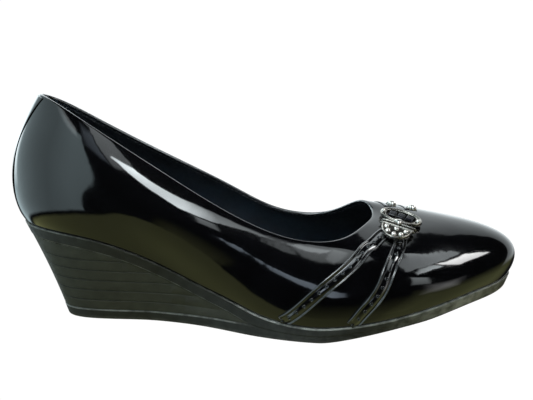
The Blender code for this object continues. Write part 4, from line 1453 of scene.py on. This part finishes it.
class PUMP_OT_ornament_trim(bpy.types.Operator):
    """Build the stones, studs, heart and fluted beads of the ornament"""

    bl_idname = "pump.ornament_trim"
    bl_label = "Ornament Trim"

    def execute(self, context):
        size = context.scene.pump_ornament
        place = vamp_frame(ORNAMENT_AT, -1, ORNAMENT_LIFT)
        metal, stone = finish_of(context, "bright_metal"), finish_of(context, "stone")
        for i, along in enumerate(STONE_PLACES):
            rows, node = stone_rows(along, size), f"ornament_stone_{i + 1}"
            ornament_piece(f"cut_stone_{i + 1}", rows, place, stone, node, "black_stone", smooth=False)
        foot = size.plate_thick + FOOT_OVER_PLATE
        places = [(DISC_AHEAD, STUD_START)]
        for turn in np.radians(STUD_ANGLES):
            ahead = DISC_AHEAD - STUD_REACH * math.cos(turn)
            places.append((ahead, STUD_START + STUD_DEPTH * math.sin(turn)))
        for i, (along, down) in enumerate(places):
            rows = stud_rows(along, down, foot, size.stud_radius)
            ornament_piece(f"dome_stud_{i + 1}", rows, place, metal, f"ornament_stud_{i + 1}")
        on_rim = foot + size.rim_height
        for i, along in enumerate(END_STUD_PLACES):
            rows = stud_rows(along, END_STUD_DOWN, on_rim, size.end_stud_radius)
            ornament_piece(f"tray_stud_{i + 1}", rows, place, metal, f"ornament_end_stud_{i + 1}")
        rows = dome_rows(*HEART_PLACE, on_rim + HEART_LIFT, HEART_RADII, *HEART_FLUTES)
        ornament_piece("heart_stud", rows, place, metal, "ornament_heart")
        for i, at in enumerate(BEADS_AT):
            over = vamp_frame(at, 1, GAP + context.scene.pump_leather.strap_thick + GAP)
            rows = dome_rows(0, 0, 0, BEAD_RADII, *BEAD_FLUTES)
            ornament_piece(f"fluted_bead_{i + 1}", rows, over, metal, f"ornament_bead_{i + 1}")
        return {"FINISHED"}


# The stage.

SENSOR_WIDTH = 36
SWEEP_RADIUS = 4.0
SWEEP_FLOOR = -0.0005
SWEEP_STRENGTH = 1.02
ROOM_COLOUR = (0.9, 0.95, 1.1, 1)
ROOM_STRENGTH = 0.012
STUDIO_MIDDLE = (0, 0, 0.05)
STUDIO_RADIUS = 3.0
STUDIO_STEP = 0.02
NEAR_STEP = 0.0005
PANEL_STEPS = 64

# Panels of light round the shoe. Corners are turn and lift in degrees, along the lower edge and back along
# the upper edge. Turn 0 lies before the outer side and 90 before the toe. Soft borders go low, far, high,
# near. Radiance goes by the corners. Most panels are about 3 m away, and those with a ball lie on a sphere
# of that centre and radius, close to the shoe.
Panel = namedtuple("Panel", "name corners soft colour radiance near", defaults=(None,))
STREAK_BALL = ((0.0735, -0.0298, 0.0639), 0.105)
TOE_BALL = ((0.1921, -0.0273, 0.0351), 0.25)
LOW_BALL = ((0.1296, -0.0378, 0.0273), 0.12)
WHITE = (1.0, 1.0, 1.0)
COOL = (0.92, 1.0, 1.03)
TEAL = (0.79, 1.0, 1.06)
SKY = (0.80, 0.95, 1.12)
OLIVE = (1.0, 1.05, 0.45)
PANELS = (
    Panel(
        "left_panel", ((-150, -33), (-31.5, -33), (-23.5, 62), (-150, 62)),
        (3, 1.5, 3, 12), TEAL, (0.9, 0.62, 0.9, 0.9),
    ),
    Panel(
        "left_edge", ((-66, -33), (-31.5, -33), (-23.5, 62), (-66, 62)),
        (3, 1.5, 3, 26), TEAL, (0.36, 0.36, 0.5, 0.5),
    ),
    Panel(
        "left_top", ((-75, 52), (-30, 52), (-34, 65), (-75, 65)),
        (4, 3, 2, 20), COOL, (0.4, 0.8, 1.8, 1.0),
    ),
    Panel(
        "streak_panel",
        (
            (-21, 65.5), (-7, 65), (5.5, 57.5), (21, 47),
            (28.5, 35), (42, 31.5), (59, 36.3), (71, 35.5),
            (81, 37.5), (79, 42.5), (75, 49), (58.5, 55.5),
            (46, 63), (24, 71.5), (-2, 71), (-17, 70),
        ),
        (1.5, 2, 1.5, 2), COOL,
        (7, 12, 11, 9.5, 12.5, 4, 3, 2.4, 2.4, 2, 1.8, 8.5, 11, 17, 12, 7), STREAK_BALL,
    ),
    Panel(
        "under_streak",
        (
            (53, 21), (62, 24), (72, 27), (80, 29),
            (84, 39), (75, 37.5), (66, 35.5), (57, 31),
        ),
        (3, 4, 2, 2), COOL, (1.0, 1.1, 1.2, 1.6, 1.6, 1.3, 1.1, 1.0), STREAK_BALL,
    ),
    Panel(
        "second_streak", ((24, 18), (34, 18), (43, 30), (33, 33)),
        (2, 2, 2, 2), COOL, (1.2, 1.4, 1.6, 3), STREAK_BALL,
    ),
    Panel(
        "toe_panel", ((72, 43), (91, 36), (91, 55), (73, 56)),
        (2, 1.5, 2, 2), WHITE, (9, 9, 15, 13), TOE_BALL,
    ),
    Panel(
        "toe_fringe",
        (
            (36, 44), (54, 52), (74, 56), (94, 56.5), (105, 61), (119, 64),
            (122, 66.5), (115, 67.5), (105, 68), (90, 68), (70, 67.5), (50, 66),
        ),
        (1, 1.5, 1, 2), COOL, (1.8, 2.0, 2.4, 2.8, 3, 3, 2.6, 2.4, 2, 1.8, 1.6, 1.6), TOE_BALL,
    ),
    Panel(
        "toe_tail", ((42, 37.5), (57, 45.5), (71, 49.5), (71, 56), (57, 53), (44, 44)),
        (1, 1.5, 2, 2), COOL, (4, 6, 6, 4, 3, 2), TOE_BALL,
    ),
    Panel(
        "low_tail", ((30, 13), (44, 11), (47, 31), (34, 34)),
        (3, 2, 2, 2), COOL, (1.0, 1.0, 2.2, 2.4), TOE_BALL,
    ),
    Panel(
        "ceiling_panel", ((1, 50), (40, 65), (70, 84), (1, 86)),
        (3, 3, 3, 3), COOL, (1.0, 1.2, 1.9, 1.9),
    ),
    Panel(
        "sky_panel", ((-26, 50), (1, 50), (1, 76), (-26, 76)),
        (6, 3, 6, 10), SKY, (0.3, 0.7, 0.9, 0.5),
    ),
    Panel(
        "back_panel", ((92, -14), (240, -14), (240, 60), (134, 60)),
        (8, 8, 1, 2), COOL, (0.7, 1.6, 3.0, 0.5),
    ),
    Panel(
        "narrow_strip",
        (
            (-5, 17), (-1, 16.5), (2, 13), (10, 5), (20, 5.5),
            (20, 13.5), (12, 17.5), (5, 24.5), (1, 27), (-3, 24.5),
        ),
        (1.5, 1, 1.5, 1.5), SKY, (1.2, 1.5, 1.7, 2.2, 0.9, 0.9, 1.9, 1.9, 2.4, 1.1), LOW_BALL,
    ),
    Panel(
        "toe_glow", ((40, -12), (64, -12), (64, 14), (40, 14)),
        (11, 11, 11, 11), WHITE, (1.5, 1.5, 1.2, 1.2),
    ),
    Panel(
        "toe_floor", ((34, -70), (128, -70), (128, -2), (34, 4)),
        (4, 30, 20, 14), OLIVE, (0.36, 0.36, 0.3, 0.36),
    ),
    Panel(
        "heel_floor", ((-180, -86), (50, -86), (50, -35), (-180, -34)),
        (4, 14, 3, 4), OLIVE, (0.42, 0.24, 0.22, 0.42),
    ),
    Panel(
        "middle_floor", ((-26, -38), (50, -38), (50, -4), (-6, -4)),
        (3, 14, 0, 4), OLIVE, (0.20, 0.28, 0.0, 0.0),
    ),
)


def bare_material(name):
    """A material with an empty node tree."""
    material = bpy.data.materials.new(name)
    material.use_nodes = True
    material.node_tree.nodes.clear()
    return material, material.node_tree


def glow_finish():
    """Light from the colour that a panel carries in its own mesh."""
    material, tree = bare_material("panel_glow")
    colour = add_node(tree, "ShaderNodeAttribute", {"attribute_name": "glow"}).outputs["Color"]
    glow = add_node(tree, "ShaderNodeEmission", Color=colour).outputs["Emission"]
    both = add_node(tree, "ShaderNodeAddShader", Shader=glow)
    clear = add_node(tree, "ShaderNodeBsdfTransparent").outputs["BSDF"]
    tree.links.new(clear, both.inputs[1])
    add_node(tree, "ShaderNodeOutputMaterial", Surface=both.outputs["Shader"])
    return material


def add_panel(panel, middle, radius, material):
    """A curved panel of light with soft borders, on a sphere round the shoe."""
    half = len(panel.corners) // 2
    places = np.linspace(0, 1, half)
    steps = np.linspace(0, 1, PANEL_STEPS)
    u, v = np.meshgrid(steps, steps)

    def edges(values):
        """The corners' values along the panel's lower and its upper edge."""
        return np.interp(u, places, values[:half]), np.interp(u, places, values[: half - 1 : -1])

    def over(values):
        low, high = edges(values)
        return low + (high - low) * v

    turn_corners, lift_corners = np.array(panel.corners, dtype=float).T
    turn, lift = over(turn_corners), over(lift_corners)
    wide = turn[:, -1:] - turn[:, :1]
    tall = np.subtract(*edges(lift_corners)[::-1])
    border = np.stack([v * tall, (1 - u) * wide, (1 - v) * tall, u * wide], axis=-1)
    faded = np.clip(border / np.maximum(panel.soft, 0.01), 0, 1).min(axis=-1)
    strength = over(np.array(panel.radiance, dtype=float)) * faded
    a, b = np.radians(turn), np.radians(lift)
    way = np.stack([np.sin(a) * np.cos(b), -np.cos(a) * np.cos(b), np.sin(b)], axis=-1)
    colour = np.ones((PANEL_STEPS, PANEL_STEPS, 4))
    colour[..., :3] = np.asarray(panel.colour) * strength[..., None]
    mesh = bpy.data.meshes.new(panel.name)
    points = np.asarray(middle) + way.reshape(-1, 3) * radius
    mesh.from_pydata(points.tolist(), [], band_faces(PANEL_STEPS, PANEL_STEPS, False))
    glow = mesh.attributes.new("glow", "FLOAT_COLOR", "POINT")
    glow.data.foreach_set("color", colour.astype(np.float32).ravel())
    mesh.materials.append(material)
    obj = add_object(panel.name, mesh)
    obj.visible_camera = False
    obj.visible_shadow = False


def add_sweep():
    """A white floor that runs up into a round white backdrop."""
    material, tree = bare_material("white_sweep")
    white = add_node(tree, "ShaderNodeEmission", Color=(1, 1, 1, 1), Strength=SWEEP_STRENGTH)
    add_node(tree, "ShaderNodeOutputMaterial", Surface=white.outputs["Emission"])
    rings = [(0.6, SWEEP_FLOOR), (3.0, SWEEP_FLOOR)]
    for rise in np.linspace(0, math.pi / 2 * 0.97, 24)[1:]:
        rings.append((SWEEP_RADIUS * math.cos(rise), SWEEP_RADIUS * math.sin(rise)))
    turn = turns(64)
    loops = [level_loop(reach * np.cos(turn), reach * np.sin(turn), height) for reach, height in rings]
    faces = band_faces(len(loops), len(turn), True) + [tuple(range(len(turn)))]
    mesh = bpy.data.meshes.new("white_sweep")
    mesh.from_pydata(np.concatenate(loops).tolist(), [], faces)
    mesh.materials.append(material)
    sweep = add_object("white_sweep", mesh)
    for flag in ("visible_glossy", "visible_diffuse", "visible_transmission", "visible_shadow"):
        setattr(sweep, flag, False)


def dim_world():
    """A dark room."""
    world = bpy.data.worlds.new("dark_room")
    bpy.context.scene.world = world
    world.use_nodes = True
    back = world.node_tree.nodes["Background"]
    back.inputs["Color"].default_value = ROOM_COLOUR
    back.inputs["Strength"].default_value = ROOM_STRENGTH


class PUMP_OT_stage(bpy.types.Operator):
    """Set up the camera, the white sweep and the soft studio light"""

    bl_idname = "pump.stage"
    bl_label = "Stage"

    def execute(self, context):
        stage = context.scene.pump_stage
        add_sweep()
        dim_world()
        glow = glow_finish()
        for i, panel in enumerate(PANELS):
            if panel.near:
                middle, radius = np.add(panel.near[0], SHIFT), panel.near[1] + NEAR_STEP * i
            else:
                middle, radius = STUDIO_MIDDLE, STUDIO_RADIUS + STUDIO_STEP * i
            add_panel(panel, middle, radius, glow)
        e, y, roll = stage.elevation, stage.yaw, stage.roll
        back = Vector((math.sin(y) * math.cos(e), -math.cos(y) * math.cos(e), math.sin(e)))
        right = Vector((math.cos(y), math.sin(y), 0))
        up = back.cross(right)
        level, lean = math.cos(roll), math.sin(roll)
        axis_x, axis_y = right * level + up * lean, up * level - right * lean
        camera = bpy.data.cameras.new("photo_camera")
        camera.sensor_width = SENSOR_WIDTH
        camera.lens = stage.focal * SENSOR_WIDTH / PHOTO_WIDTH
        camera.clip_start, camera.clip_end = 0.01, 20
        eye = add_object("photo_camera", camera)
        turn = Matrix((axis_x, axis_y, back)).transposed().to_4x4()
        place = Vector(stage.target) + Vector(SHIFT) + back * stage.distance
        eye.matrix_world = Matrix.Translation(place) @ turn
        context.scene.camera = eye
        context.scene.view_settings.view_transform = "Standard"
        return {"FINISHED"}


class PUMP_PT_pieces(bpy.types.Panel):
    """The pieces of the pump"""

    bl_idname = "PUMP_PT_pieces"
    bl_label = "Wedge Pump"
    bl_space_type = "VIEW_3D"
    bl_region_type = "UI"
    bl_category = "Pump"

    def draw(self, context):
        for operator in OPERATORS:
            self.layout.operator(operator.bl_idname)


GROUPS = {
    "pump_leather": PumpLeather,
    "pump_sole": PumpSole,
    "pump_ornament": PumpOrnament,
    "pump_colours": PumpColours,
    "pump_stage": PumpStage,
}
OPERATORS = (
    PUMP_OT_upper,
    PUMP_OT_back_strip,
    PUMP_OT_straps,
    PUMP_OT_topline_stitches,
    PUMP_OT_sole,
    PUMP_OT_wedge,
    PUMP_OT_sock,
    PUMP_OT_ornament_plate,
    PUMP_OT_ornament_trim,
    PUMP_OT_stage,
)


def register():
    for group in GROUPS.values():
        bpy.utils.register_class(group)
    for name, group in GROUPS.items():
        setattr(bpy.types.Scene, name, bpy.props.PointerProperty(type=group))
    for operator in OPERATORS:
        bpy.utils.register_class(operator)
    bpy.utils.register_class(PUMP_PT_pieces)


def unregister():
    bpy.utils.unregister_class(PUMP_PT_pieces)
    for operator in reversed(OPERATORS):
        bpy.utils.unregister_class(operator)
    for name in GROUPS:
        delattr(bpy.types.Scene, name)
    for group in reversed(list(GROUPS.values())):
        bpy.utils.unregister_class(group)


def main():
    register()
    bpy.ops.pump.upper()
    bpy.ops.pump.back_strip()
    bpy.ops.pump.straps()
    bpy.ops.pump.topline_stitches()
    bpy.ops.pump.sole()
    bpy.ops.pump.wedge()
    bpy.ops.pump.sock()
    bpy.ops.pump.ornament_plate()
    bpy.ops.pump.ornament_trim()
    bpy.ops.pump.stage()


if __name__ == "__main__":
    main()
